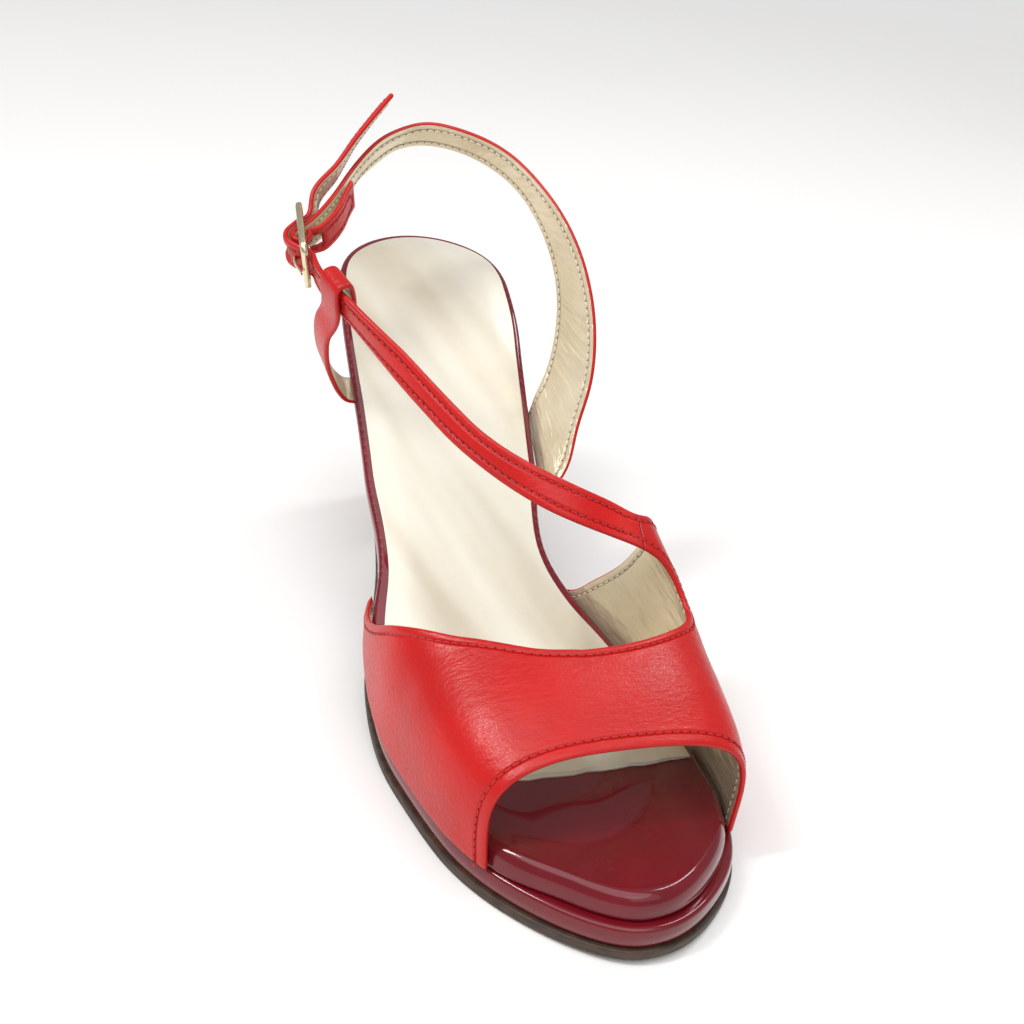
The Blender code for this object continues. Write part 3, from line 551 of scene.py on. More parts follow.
def makePlatform():
    loop = flatLoop(stations(layers["platformStart"], 1, soleShape["stations"]))
    rings = layerRings(
        loop, lambda s, side: soleShape["platformDraw"] * (1 - smoothStep(*fades["platformDraw"], s)),
        lambda s: outsoleTop(s) + shoe["gap"], lambda s: boardBottom(s) - shoe["gap"],
        soleShape["platformLow"], soleShape["platformTop"], 6, soleShape["platformBulge"])
    return closedPiece("platformPatent", loftRings(rings), ["patent"])


def makeBoard():
    shares = stations(0, 1, soleShape["stations"])
    loop = flatLoop(shares)

    def top(s):
        return boardTop(s) - crownDrop(0)

    rings = layerRings(loop, shellInset, boardBottom, top, undercut, rollRadius, 12, 0.1 * mm, rollDrop)
    rolled = len(rings)
    rings += crownRings(loop, lambda s, side: shellInset(s, side) + rollRadius(s), boardTop, 0.0, layers["crownReach"])
    flat, _, keys = loop
    along = [0.0]
    for a, b in zip(flat, flat[1:]):
        along.append(along[-1] + (b - a).length)

    def gather(r, i):
        # strongest on the turn of the rolled edge behind the vamp, gone at the toe
        band = math.exp(-((r - (rolled - 5)) / 3.2) ** 2)
        return band * (1 - smoothStep(*fades["gather"], keys[i][0]))

    bm = loftRings(rings, {"runAlong": lambda r, i: along[i], "gather": gather})
    return closedPiece("insoleBoard", bm, ["patent"])


def makeSock():
    loop = flatLoop(stations(0, layers["sockEnd"], soleShape["stations"]))
    start = layers["sockMargin"] - layers["boardRound"]
    drop = crownDrop(start)

    def inset(s, side):
        narrow = smoothStep(*fades["sockTrim"], s) * (1 - smoothStep(*fades["sockTrimEnd"], s))
        return shellInset(s, side) + layers["sockMargin"] - soleShape["sideTrim"] * narrow

    def low(s):
        return boardTop(s) + 0.5 * shoe["gap"] - drop

    def top(s):
        return low(s) + layers["sock"] - soleShape["sockPress"]

    rings = layerRings(loop, inset, low, top, soleShape["sockLow"], soleShape["sockRound"], 4)
    reach = layers["crownReach"] - start
    over = []
    for k in range(1, 11):
        moved = reach * k / 10
        rise = layers["sock"] - soleShape["sockPress"] * (1 - smoothStep(0, soleShape["pressReach"], moved))
        over.append(ringOf(loop, lambda s, side: inset(s, side) + soleShape["sockRound"] + moved,
                           lambda s: boardTop(s) + 0.5 * shoe["gap"] + rise - crownDrop(start + moved)))
    under = crownRings(loop, lambda s, side: inset(s, side) + soleShape["sockLow"],
                       lambda s: boardTop(s) + 0.5 * shoe["gap"], start, reach)
    bm = loftRings(list(reversed(under)) + rings + over)
    # the front edge bows forward and is cut by hand
    for k in range(-9, 10):
        everything = list(bm.verts) + list(bm.edges) + list(bm.faces)
        bmesh.ops.bisect_plane(bm, geom=everything, plane_co=(0, k * soleShape["cutPitch"], 0),
                               plane_no=(0, 1, 0), dist=0.02 * mm)
    front = layers["sockEnd"] * shoe["length"] - shoe["originX"]
    for vert in bm.verts:
        pull = smoothStep(front - soleShape["bowReach"], front, vert.co.x)
        across = min(abs(vert.co.y - soleShape["bowMiddle"]) / soleShape["bowHalf"], 1.0)
        wander = 0.25 * math.sin(vert.co.y * 610) + 0.15 * math.sin(vert.co.y * 1490 + 1)
        moved = pull * (soleShape["sockBow"] * (1 - across ** 2) + wander * mm)
        before = boardTop((vert.co.x + shoe["originX"]) / shoe["length"])
        vert.co.x += moved
        vert.co.z += boardTop((vert.co.x + shoe["originX"]) / shoe["length"]) - before
    return closedPiece("sockLining", bm, ["sock"])


outsolePiece, platformPiece, boardPiece, sockPiece = makeOutsole(), makePlatform(), makeBoard(), makeSock()
print("sole built")


# --- heel block and its top piece ---

heelShape = {
    "topLength": 39 * mm, "footBack": 12 * mm, "footLength": 24 * mm, "footWidth": 26 * mm, "topPiece": 6 * mm,
    "breastRound": 1.6 * mm, "edgeRound": 0.7 * mm, "levels": 44, "seatBack": 1.2 * mm, "seatSides": 1.0 * mm,
    "topPieceRound": 0.5 * mm, "topPieceBevel": 0.3 * mm,
    # share of the block's height, share of the way from the foot's outline to the seat's
    "flare": [(0.0, 0.0), (0.3, 0.05), (0.55, 0.16), (0.75, 0.34), (0.88, 0.58), (0.96, 0.84), (1.0, 1.0)],
}


def cutBack(points, length, count):
    # an open line shortened by a length at its end, with a fixed number of points
    sums = [0.0]
    for a, b in zip(points, points[1:]):
        sums.append(sums[-1] + (b - a).length)
    goal, out, i = sums[-1] - length, [], 0
    for k in range(count):
        at = goal * (1 - math.cos(math.pi / 2 * (k + 0.3) / (count - 0.7)))
        while i < len(points) - 2 and sums[i + 1] < at:
            i += 1
        out.append(points[i].lerp(points[i + 1], min(max((at - sums[i]) / (sums[i + 1] - sums[i]), 0), 1)))
    return out


def heelOutline(flare):
    back = heelShape["footBack"] + (heelShape["seatBack"] - heelShape["footBack"]) * flare
    foot = heelShape["footBack"] + heelShape["footLength"]
    front = foot + (heelShape["topLength"] - foot) * flare ** 3
    sides = [[], []]
    for k in range(91):
        t = 1 - math.cos(math.pi / 2 * (k + 0.2) / 90.2)
        x = back + (front - back) * t
        half = heelShape["footWidth"] / 2 * math.sqrt(1 - (1 - t) ** 2.4)
        inner, outer = (w - heelShape["seatSides"] for w in halfWidths(max(x / shoe["length"], 0.002)))
        sides[0].append(Vector((x, half + (inner - half) * flare)))
        sides[1].append(Vector((x, -half - (outer - half) * flare)))
    ring = []
    for side, other in ((sides[0], sides[1]), (sides[1], sides[0])):
        corner, r = side[-1], heelShape["breastRound"]
        line = cutBack(side, r, 56)
        leave = corner + (other[-1] - corner).normalized() * r
        arc = []
        for k in range(1, 7):
            t = k / 6
            arc.append(line[-1] * (1 - t) ** 2 + corner * 2 * t * (1 - t) + leave * t * t)
        ring.append(line + arc)
    return ring[0] + list(reversed(ring[1]))


def heelRing(flare, height, inset=0.0):
    flat = heelOutline(flare)
    out = []
    for i, p in enumerate(flat):
        ahead = flat[(i + 1) % len(flat)] - flat[i - 1]
        q = p + Vector((ahead.y, -ahead.x)).normalized() * inset
        out.append(Vector((q.x - shoe["originX"], q.y, height(q.x / shoe["length"]))))
    return out


def makeHeel():
    low = heelShape["topPiece"] + shoe["gap"]
    r = heelShape["edgeRound"]

    def roof(s):
        return boardBottom(s) - shoe["gap"]

    rings = []
    for k in range(4):
        turn = math.pi / 2 * k / 4
        rings.append(heelRing(0.0, lambda s: low + r * (1 - math.sin(turn)), r * (1 - math.cos(turn))))
    rings.reverse()
    for k in range(1, heelShape["levels"]):
        level = k / heelShape["levels"]
        level = level + 0.35 * level * (1 - level)
        rings.append(heelRing(readTable(heelShape["flare"], level), lambda s: low + (roof(s) - low) * level))
    for k in range(5):
        turn = math.pi / 2 * k / 4
        rings.append(heelRing(1.0, lambda s: roof(s) - r * (1 - math.sin(turn)), r * (1 - math.cos(turn))))
    return closedPiece("heelBlock", loftRings(rings), ["patent"], 50)


def makeTopPiece():
    r, thick, bevel = heelShape["topPieceRound"], heelShape["topPiece"], heelShape["topPieceBevel"]
    # height and inset of each ring
    levels = [(0.0, 2 * r), (0.0, r), (0.3 * r, 0.3 * r), (r, 0.0), (0.3 * thick, 0.0), (0.6 * thick, 0.0),
              (thick - bevel, 0.0), (thick, bevel)]
    rings = [heelRing(0.0, lambda s: height, inset) for height, inset in levels]
    return closedPiece("heelTopPiece", loftRings(rings), ["heelTip"], 50)


heelPiece, topPiece = makeHeel(), makeTopPiece()
print("heel built")


# --- the last that the upper is drawn on ---

lastShape = {
    # share of length, share of instepHeight over the board, then the lean of the crown
    # and the bulges of both sides as shares of ballWidth
    "sections": [
        (0.500, 0.90, 0.050, 0.060, 0.010), (0.563, 0.97, 0.050, 0.080, 0.015),
        (0.599, 0.98, 0.050, 0.060, 0.020), (0.635, 0.92, 0.055, 0.040, 0.025),
        (0.662, 0.85, 0.060, 0.038, 0.030), (0.689, 0.765, 0.065, 0.035, 0.040),
        (0.725, 0.665, 0.075, 0.025, 0.045), (0.757, 0.610, 0.070, 0.018, 0.050),
        (0.820, 0.530, 0.065, 0.008, 0.050), (0.878, 0.440, 0.060, 0.000, 0.045),
        (0.940, 0.360, 0.050, 0.000, 0.035),
    ],
    "sidePower": 0.5, "crownPower": 0.6, "from": 0.495, "to": 0.945, "rows": 260, "columns": 300,
}


def makeLast():
    grid = []
    angles = [math.pi * k / 480 for k in range(481)]
    turns = [(-math.cos(a), max(math.sin(a), 0.0), abs(math.sin(2 * a))) for a in angles]
    turns = [(side, rise ** lastShape["crownPower"], rise,
              math.copysign(abs(side) ** lastShape["sidePower"], side), swell) for side, rise, swell in turns]
    for r in range(lastShape["rows"] + 1):
        share = lastShape["from"] + (lastShape["to"] - lastShape["from"]) * r / lastShape["rows"]
        inner, outer = halfWidths(share)
        inner += 2 * shoe["gap"] + shoe["wall"] / 2 - layers["vampInset"]
        outer += 2 * shoe["gap"] + shoe["wall"] / 2 - layers["vampInset"] + overhang(share, -1)
        base = boardBottom(share) + shoe["gap"] / 2
        height = readTable(lastShape["sections"], share, 1) * shoe["instepHeight"] + boardTop(share) - base
        lean = readTable(lastShape["sections"], share, 2) * shoe["ballWidth"]
        swells = [readTable(lastShape["sections"], share, c) * shoe["ballWidth"] for c in (3, 4)]
        x = share * shoe["length"] - shoe["originX"]
        section = []
        for side, lifted, rise, reach, swell in turns:
            width, bulge = (inner, swells[0]) if side > 0 else (outer, swells[1])
            section.append(Vector((x, reach * (width + bulge * swell) + lean * rise, base + height * lifted)))
        sums = [0.0]
        for a, b in zip(section, section[1:]):
            sums.append(sums[-1] + (b - a).length)
        row, i = [], 0
        for c in range(lastShape["columns"] + 1):
            at = sums[-1] * c / lastShape["columns"]
            while i < len(section) - 2 and sums[i + 1] < at:
                i += 1
            row.append(section[i].lerp(section[i + 1], min((at - sums[i]) / (sums[i + 1] - sums[i]), 1)))
        grid.append(row)
    return grid


lastGrid = makeLast()


def onLast(share, around):
    u = (share - lastShape["from"]) / (lastShape["to"] - lastShape["from"]) * lastShape["rows"]
    v = min(max(around, 0), 1) * lastShape["columns"]
    r, c = min(max(int(u), 0), lastShape["rows"] - 1), min(int(v), lastShape["columns"] - 1)
    low = lastGrid[r][c].lerp(lastGrid[r][c + 1], v - c)
    return low.lerp(lastGrid[r + 1][c].lerp(lastGrid[r + 1][c + 1], v - c), u - r)


def placeAt(share, across, over):
    # a place in the shoe's own sizes: share of length, of ballWidth inwards, of ankleRise over the board
    return Vector((share * shoe["length"] - shoe["originX"], across * shoe["ballWidth"],
                   boardTop(share) + over * shoe["ankleRise"]))


# --- strips and sheets of leather ---

leatherEdge = {"round": 0.8 * mm, "turned": 0.45 * mm, "steps": [0.06 * mm, 0.2 * mm, 0.42 * mm, 0.75 * mm, 1.2 * mm]}
sheetShape = {"weld": 0.02 * mm, "sample": 0.15 * mm, "edgeSample": 0.05 * mm}


def edgedShares(length, count):
    # shares of a row, close together at both of its ends so that the edges can be rounded
    lead = [step / length for step in leatherEdge["steps"]]
    inner = count - 2 * len(lead)
    body = [lead[-1] + (1 - 2 * lead[-1]) * k / inner for k in range(1, inner)]
    return [0.0] + lead + body + [1 - share for share in reversed(lead)] + [1.0]


def rowBetween(front, back, columns):
    return [front.lerp(back, share) for share in edgedShares((back - front).length, columns)]


def closeEnds(rows, first=True, last=True):
    # extra rows beside a cut end, for the same reason
    for wanted, end, beside in ((last, -1, -2), (first, 0, 1)):
        if not wanted:
            continue
        a, b = rows[end], rows[beside]
        length = (b[len(b) // 2] - a[len(a) // 2]).length
        added = [[p.lerp(q, step / length) for p, q in zip(a, b)]
                 for step in leatherEdge["steps"][:4] if step < 0.9 * length]
        rows[len(rows) - 1:len(rows) - 1] = reversed(added) if end else []
        rows[1:1] = [] if end else added
    return rows


def smoothRows(controls, pitch, columns):
    # cross rows through pairs of edge points, at an even pitch along the strip
    ends = [tuple(2 * a - b for a, b in zip(controls[0], controls[1]))] + list(controls)
    ends.append(tuple(2 * a - b for a, b in zip(controls[-1], controls[-2])))
    rows = []
    for i in range(1, len(ends) - 2):
        middle = [(e[0] + e[1]) / 2 for e in ends[i - 1:i + 3]]
        steps = max(2, round((middle[2] - middle[1]).length / pitch))
        for k in range(steps):
            t = k / steps
            pair = []
            for j in (0, 1):
                a, b, c, d = (e[j] for e in ends[i - 1:i + 3])
                # spans are uneven, so the tangents are scaled by their neighbours' lengths
                ab, bc, cd = max((b - a).length, 1e-6), max((c - b).length, 1e-6), max((d - c).length, 1e-6)
                m1 = ((b - a) / ab * bc + (c - b) / bc * ab) / (ab + bc) * bc
                m2 = ((c - b) / bc * cd + (d - c) / cd * bc) / (bc + cd) * bc
                h = (2 * t ** 3 - 3 * t ** 2 + 1) * b + (t ** 3 - 2 * t ** 2 + t) * m1
                pair.append(h + (3 * t ** 2 - 2 * t ** 3) * c + (t ** 3 - t ** 2) * m2)
            rows.append(rowBetween(pair[0], pair[1], columns))
    rows.append(rowBetween(controls[-1][0], controls[-1][1], columns))
    return rows


def easeRows(rows, rounds, first=0, last=None):
    last = len(rows) - 1 if last is None else last
    for _ in range(rounds):
        old = [list(row) for row in rows]
        for r in range(max(first, 1), min(last, len(rows) - 1)):
            for c in range(len(rows[r])):
                rows[r][c] = old[r][c] * 0.5 + (old[r - 1][c] + old[r + 1][c]) * 0.25
    return rows


def levelPair(middle, direction, width, lean):
    up = (lean - direction * lean.dot(direction)).normalized()
    return middle - up * (width / 2), middle + up * (width / 2)


class Sheet:
    # a sheet of quads with the values its finish reads, given its wall at the end
    def __init__(self):
        self.points, self.quads, self.along, self.across = [], [], [], []

    def addRows(self, rows, gaps=(), half=1):
        start, columns, run = len(self.points), len(rows[0]), 0.0
        for r, row in enumerate(rows):
            if r:
                run += (row[columns // 2] - rows[r - 1][columns // 2]).length
            reach = 0.0
            for c, point in enumerate(row):
                reach += (point - row[c - 1]).length if c else 0.0
                self.points.append(point)
                self.along.append(run)
                self.across.append(reach)
        for r in range(len(rows) - 1):
            for c in range(columns - 1):
                if r in gaps and abs(c - (columns - 2) / 2) < half:
                    continue
                i = start + r * columns + c
                self.quads.append((i, i + 1, i + columns + 1, i + columns))

    def build(self, outward):
        bm = bmesh.new()
        along, across = (bm.verts.layers.float.new(label) for label in ("runAlong", "runAcross"))
        verts = []
        for point, u, v in zip(self.points, self.along, self.across):
            vert = bm.verts.new(point)
            vert[along], vert[across] = u, v
            verts.append(vert)
        for quad in self.quads:
            bm.faces.new([verts[i] for i in quad])
        bmesh.ops.delete(bm, geom=[v for v in bm.verts if not v.link_faces], context="VERTS")
        bmesh.ops.remove_doubles(bm, verts=bm.verts, dist=sheetShape["weld"])
        bmesh.ops.recalc_face_normals(bm, faces=bm.faces)
        # outward is a point on the sheet and the way its right side faces there
        near = min(bm.faces, key=lambda f: (f.calc_center_median() - outward[0]).length)
        if near.normal.dot(outward[1]) < 0:
            bmesh.ops.reverse_faces(bm, faces=bm.faces)
        return bm


def spanPoints(line, step):
    # points at most a step apart on every span of a line
    for a, b in zip(line, line[1:]):
        steps = max(1, int((b - a).length / step))
        yield from (a.lerp(b, k / steps) for k in range(steps + 1))


def treeOf(points):
    tree = KDTree(len(points))
    for i, point in enumerate(points):
        tree.insert(point, i)
    tree.balance()
    return tree


def nearestRow(rows, point):
    # the row whose middle lies nearest to a point
    middle = (len(rows[0]) - 1) // 2
    return min(range(len(rows)), key=lambda r: (rows[r][middle] - point).length)


def bothSides(rows):
    return [row[0] for row in rows], [row[-1] for row in rows]


def measureEdges(bm, edgeLines, seamLines=()):
    # distance of every point from the turned edges, and from the seams across the strip;
    # each line comes with the allowance that is taken off
    for label, lines in (("edgeDistance", edgeLines), ("seamDistance", seamLines)):
        field = bm.verts.layers.float.new(label)
        groups = {}
        for line, allowance in lines:
            groups.setdefault(allowance, []).extend(spanPoints(line, sheetShape["sample"]))
        trees = [(treeOf(points), allowance) for allowance, points in groups.items()]
        for vert in bm.verts:
            vert[field] = min([max(tree.find(vert.co)[2] - allowance, 0.0) for tree, allowance in trees] or [1.0])


def contourLines(bm, value, lift):
    # lines along the sheet where its distance from the edges has one value
    field = bm.verts.layers.float["edgeDistance"]
    bm.normal_update()
    crossing, links = {}, {}
    for face in bm.faces:
        cuts = []
        for edge in face.edges:
            a, b = edge.verts
            low, high = a[field] - value, b[field] - value
            if (low < 0) != (high < 0):
                t = low / (low - high)
                crossing[edge] = a.co.lerp(b.co, t) + a.normal.lerp(b.normal, t).normalized() * lift
                cuts.append(edge)
        for a, b in zip(cuts[::2], cuts[1::2]):
            links.setdefault(a, []).append(b)
            links.setdefault(b, []).append(a)
    lines, used = [], set()
    for start in sorted(links, key=lambda e: len(links[e])):
        if start in used:
            continue
        line, at = [start], start
        used.add(start)
        while True:
            onward = [e for e in links[at] if e not in used]
            if not onward:
                break
            at = onward[0]
            used.add(at)
            line.append(at)
        lines.append([crossing[e] for e in line])
    return lines


def wallPiece(name, bm):
    # both sides of the sheet, drawn together over its rounded edges; the turned edge is red
    bm.normal_update()
    spots = []
    for edge in bm.edges:
        if edge.is_boundary:
            spots += spanPoints([vert.co for vert in edge.verts], sheetShape["edgeSample"])
    tree = treeOf(spots)
    solid = bmesh.new()
    labels = ("runAlong", "runAcross", "edgeDistance", "seamDistance")
    fields = [(bm.verts.layers.float[label], solid.verts.layers.float.new(label)) for label in labels]
    outer, inner, depth = {}, {}, {}
    for vert in bm.verts:
        depth[vert] = 0.0 if vert.is_boundary else tree.find(vert.co)[2]
        reach = 1 - min(depth[vert] / leatherEdge["round"], 1.0)
        lift = vert.normal * (shoe["wall"] / 2 * math.sqrt(1 - reach * reach))
        outer[vert] = solid.verts.new(vert.co + lift)
        inner[vert] = outer[vert] if vert.is_boundary else solid.verts.new(vert.co - lift)
        for old, new in fields:
            outer[vert][new] = inner[vert][new] = vert[old]
    for face in bm.faces:
        solid.faces.new([outer[vert] for vert in face.verts])
        back = solid.faces.new([inner[vert] for vert in reversed(face.verts)])
        back.material_index = 1 if max(depth[vert] for vert in face.verts) > leatherEdge["turned"] else 0
    bm.free()
    return newPiece(name, solid, ["red", "lining"], 0)


# --- upper: vamp, wing, root of the strap, instep strap and its free end ---

upperShape = {
    "vampRows": 120, "vampColumns": 56, "wingRows": 44, "stripColumns": 18, "rootRows": 30, "pitch": 1.1 * mm,
    "cutStart": 0.64, "cutBottom": 0.750, "cutMiddle": 0.702, "cutHalf": 0.038, "seam": 0.665, "strapCrown": 0.25 * mm,
    "stitchInset": 2.1 * mm, "peepInset": 0.9 * mm, "slot": 2.6 * mm,
    # share round the section from the outer side's foot to the inner side's, share of length
    "toeEdge": [(0.0, 0.893), (0.25, 0.886), (0.5, 0.882), (0.75, 0.887), (1.0, 0.893)],
    "throatEdge": [
        (0.0, 0.509), (0.10, 0.598), (0.20, 0.665), (0.27, 0.708), (0.31, 0.727), (0.41, 0.757), (0.50, 0.766),
    ],
    "backEdge": [
        (0.665, 0.630), (0.75, 0.607), (0.80, 0.594), (0.86, 0.578), (0.92, 0.557), (0.963, 0.541), (1.0, 0.518),
    ],
    # front edge, then back edge: share of length, of ballWidth to the inner side, of ankleRise over the board
    "strap": [
        (0.649, 0.250, 0.836, 0.619, 0.289, 0.899), (0.643, 0.143, 0.894, 0.617, 0.191, 0.970),
        (0.626, 0.045, 0.921, 0.603, 0.071, 1.022), (0.597, -0.046, 0.919, 0.581, -0.044, 1.051),
        (0.569, -0.127, 0.919, 0.552, -0.122, 1.042), (0.535, -0.201, 0.907, 0.521, -0.187, 1.042),
        (0.499, -0.263, 0.897, 0.489, -0.252, 1.046), (0.461, -0.323, 0.883, 0.458, -0.318, 1.055),
        (0.419, -0.378, 0.859, 0.428, -0.389, 1.057), (0.375, -0.433, 0.823, 0.391, -0.452, 1.028),
    ],
    # middle line past the buckle, then its share of the width
    "freeEnd": [
        (0.208, -0.494, 0.842, 1.0), (0.182, -0.409, 0.900, 1.0), (0.159, -0.338, 0.978, 1.0),
        (0.137, -0.260, 1.049, 0.95), (0.126, -0.187, 1.147, 0.35),
    ],
    "freeEndUp": Vector((0.82, 0.08, 0.57)),
    # how the strap is threaded: share of the way from the middle bar to an end bar, then out of the frame
    "thread": [(1.05, -1.0), (0.84, -0.92), (0.60, -0.02), (0.40, 0.50), (0.20, 0.89), (0.0, 1.0)],
}

buckleShape = {
    "length": 21 * mm, "width": 15.5 * mm, "bar": 2.0 * mm, "thickness": 1.8 * mm, "prong": 1.6 * mm,
    "place": (0.259, -0.558, 0.780), "along": Vector((0.92, -0.057, -0.385)).normalized(),
    "down": Vector((-0.29, 0.168, -0.94)),
    # corners of the frame, how far it is arched, and half sizes of the middle bar's section
    "outerCorner": 3.2 * mm, "innerCorner": 1.4 * mm, "arch": 0.4 * mm, "barHalf": 0.8 * mm, "barRise": 0.72 * mm,
    # radius of the prong's turn round the bar, half its thickness, and its two heights over the frame
    "prongTurn": 1.75 * mm, "prongHalf": 0.45 * mm, "prongHigh": 2.3 * mm, "prongTip": 1.0 * mm,
}
foldRadius = buckleShape["bar"] / 2 + shoe["gap"] + 0.9 * mm
overBar = foldRadius + shoe["wall"] + shoe["gap"] + 0.1 * mm
underBar = -(buckleShape["thickness"] / 2 + shoe["wall"] / 2 + 3.5 * shoe["gap"])
endBar = (buckleShape["length"] - buckleShape["bar"]) / 2


def buckleAxes():
    along, down = buckleShape["along"], buckleShape["down"]
    below = (down - along * down.dot(along)).normalized()
    outward = below.cross(along).normalized()
    return along, (-outward if outward.y > 0 else outward), below


def bucklePoint(along, out, down=0.0):
    forward, outward, below = buckleAxes()
    return placeAt(*buckleShape["place"]) + forward * along + outward * out + below * down


def cutSides(around):
    t = (around - upperShape["cutStart"]) / (upperShape["cutBottom"] - upperShape["cutStart"])
    return upperShape["cutMiddle"] - upperShape["cutHalf"] * math.sqrt(1 - min(max(t, 0.0), 1.0) ** 2)


def throatAt(around):
    # the throat runs on into the round cut without a corner
    crest, level = upperShape["throatEdge"][-1]
    if around <= crest:
        return readTable(upperShape["throatEdge"], around)
    t = min((around - crest) / (upperShape["cutBottom"] - crest), 1.0)
    return upperShape["cutMiddle"] + (level - upperShape["cutMiddle"]) * (1 - t ** 2.6) ** 0.6


def lastRow(around, start, end, count):
    # a row along the last between two shares of the length, gathered at both ends
    shares = edgedShares(abs(end - start) * shoe["length"], count)
    return [onLast(start + (end - start) * share, around) for share in shares]


def upperRows():
    u = upperShape
    vamp, wing, root = [], [], []
    for k in range(u["vampRows"] + 1):
        around = u["cutBottom"] * (1 - (1 - k / u["vampRows"]) ** 1.5)
        vamp.append(lastRow(around, readTable(u["toeEdge"], around), throatAt(around), u["vampColumns"]))
    for k in range(u["wingRows"] + 1):
        around = u["cutBottom"] + (1 - u["cutBottom"]) * (k / u["wingRows"]) ** 1.5
        row = lastRow(around, readTable(u["toeEdge"], around), u["cutMiddle"], u["vampColumns"])
        wing.append(row + lastRow(around, u["cutMiddle"], readTable(u["backEdge"], around), u["stripColumns"])[1:])
    for k in range(u["rootRows"] + 1):
        around = u["cutBottom"] + (u["seam"] - u["cutBottom"]) * (k / u["rootRows"]) ** 1.6
        root.append(lastRow(around, cutSides(around), readTable(u["backEdge"], around), u["stripColumns"]))
    return vamp, wing, root


def threadPairs():
    # the strap inside the front bar, over the middle bar, inside the rear bar, then its free end
    u = upperShape
    half = [(along * endBar, out * overBar if out > 0 else -out * underBar) for along, out in u["thread"]]
    route = [bucklePoint(*p) for p in half] + [bucklePoint(-x, y) for x, y in half[-2:0:-1]]
    widths = [shoe["strapWidth"]] * len(route) + [shoe["strapWidth"] * row[3] for row in u["freeEnd"]]
    below = buckleAxes()[2]
    leans = [-below] * len(route)
    leans += [(-below).lerp(u["freeEndUp"], min(k / 3.5, 1.0)) for k in range(1, len(u["freeEnd"]) + 1)]
    route += [placeAt(*row[:3]) for row in u["freeEnd"]]
    pairs = []
    for i, point in enumerate(route):
        ahead = route[min(i + 1, len(route) - 1)] - route[max(i - 1, 0)]
        pairs.append(levelPair(point, ahead.normalized(), widths[i], leans[i]))
    return pairs


def crownStrip(rows, amount, start, last):
    # the leather stands a little proud along the middle of a strip
    columns = len(rows[0]) - 1
    for r in range(max(start, 1), min(last, len(rows) - 1)):
        run = rows[r + 1][columns // 2] - rows[r - 1][columns // 2]
        out = run.cross(rows[r][-1] - rows[r][0]).normalized()
        fade = min(smoothStep(start, start + 12, r), 1 - smoothStep(last - 12, last, r))
        first, width = rows[r][0].copy(), (rows[r][-1] - rows[r][0]).length
        for c in range(columns + 1):
            rows[r][c] = rows[r][c] + out * amount * fade * (1 - (2 * (rows[r][c] - first).length / width - 1) ** 2)


def makeUpper():
    u = upperShape
    vamp, wing, root = upperRows()
    columns = u["stripColumns"]
    strapPairs = [(placeAt(*row[:3]), placeAt(*row[3:])) for row in u["strap"]]
    thread = threadPairs()
    controls = [(root[-1][0], root[-1][-1])] + strapPairs + thread
    lead = smoothRows([(root[-7][0], root[-7][-1])] + controls, u["pitch"], columns)
    reached = min(range(len(lead)), key=lambda r: (lead[r][0] - root[-1][0]).length)
    strip = lead[reached:]
    # the strap leaves the last with the curve that the root has across it
    bent = [p - q for p, q in zip(root[-1], rowBetween(root[-1][0], root[-1][-1], columns))]
    for r, row in enumerate(strip[:26]):
        fade = 1 - smoothStep(0, 26, r)
        strip[r] = [p + b * fade for p, b in zip(row, bent)]
    run = closeEnds(root + strip[1:], first=False)
    easeRows(run, 10, len(root) - 6, len(root) + 16)
    firstThread = nearestRow(run, (thread[0][0] + thread[0][1]) / 2)
    easeRows(run, 3, len(root) + 4, firstThread + 2)
    crownStrip(run, -u["strapCrown"], len(root) + 4, firstThread - 8)
    middleBar = bucklePoint(0, overBar)
    holes = [r for r in range(len(run)) if (run[r][columns // 2] - middleBar).length < u["slot"]]
    sheet = Sheet()
    sheet.addRows(vamp)
    sheet.addRows(wing)
    sheet.addRows(run, gaps=set(holes[:-1]), half=2)
    top = vamp[u["vampRows"] // 2][u["vampColumns"] // 2]
    bm = sheet.build((top, Vector((0.3, -0.2, 1))))
    (vampToe, throat), (wingToe, heelEdge) = bothSides(vamp), bothSides(wing)
    turned = [(line, 0.0) for line in (throat, *bothSides(run), heelEdge, list(run[-1]))]
    measureEdges(bm, turned + [(vampToe + wingToe, u["peepInset"])], [(run[len(root) - 1], 0.0)])
    return bm, run, len(root)


upperSheet, strapRun, seamIndex = makeUpper()
print("upper drawn")


# --- sling strap, with the fold that holds the buckle ---

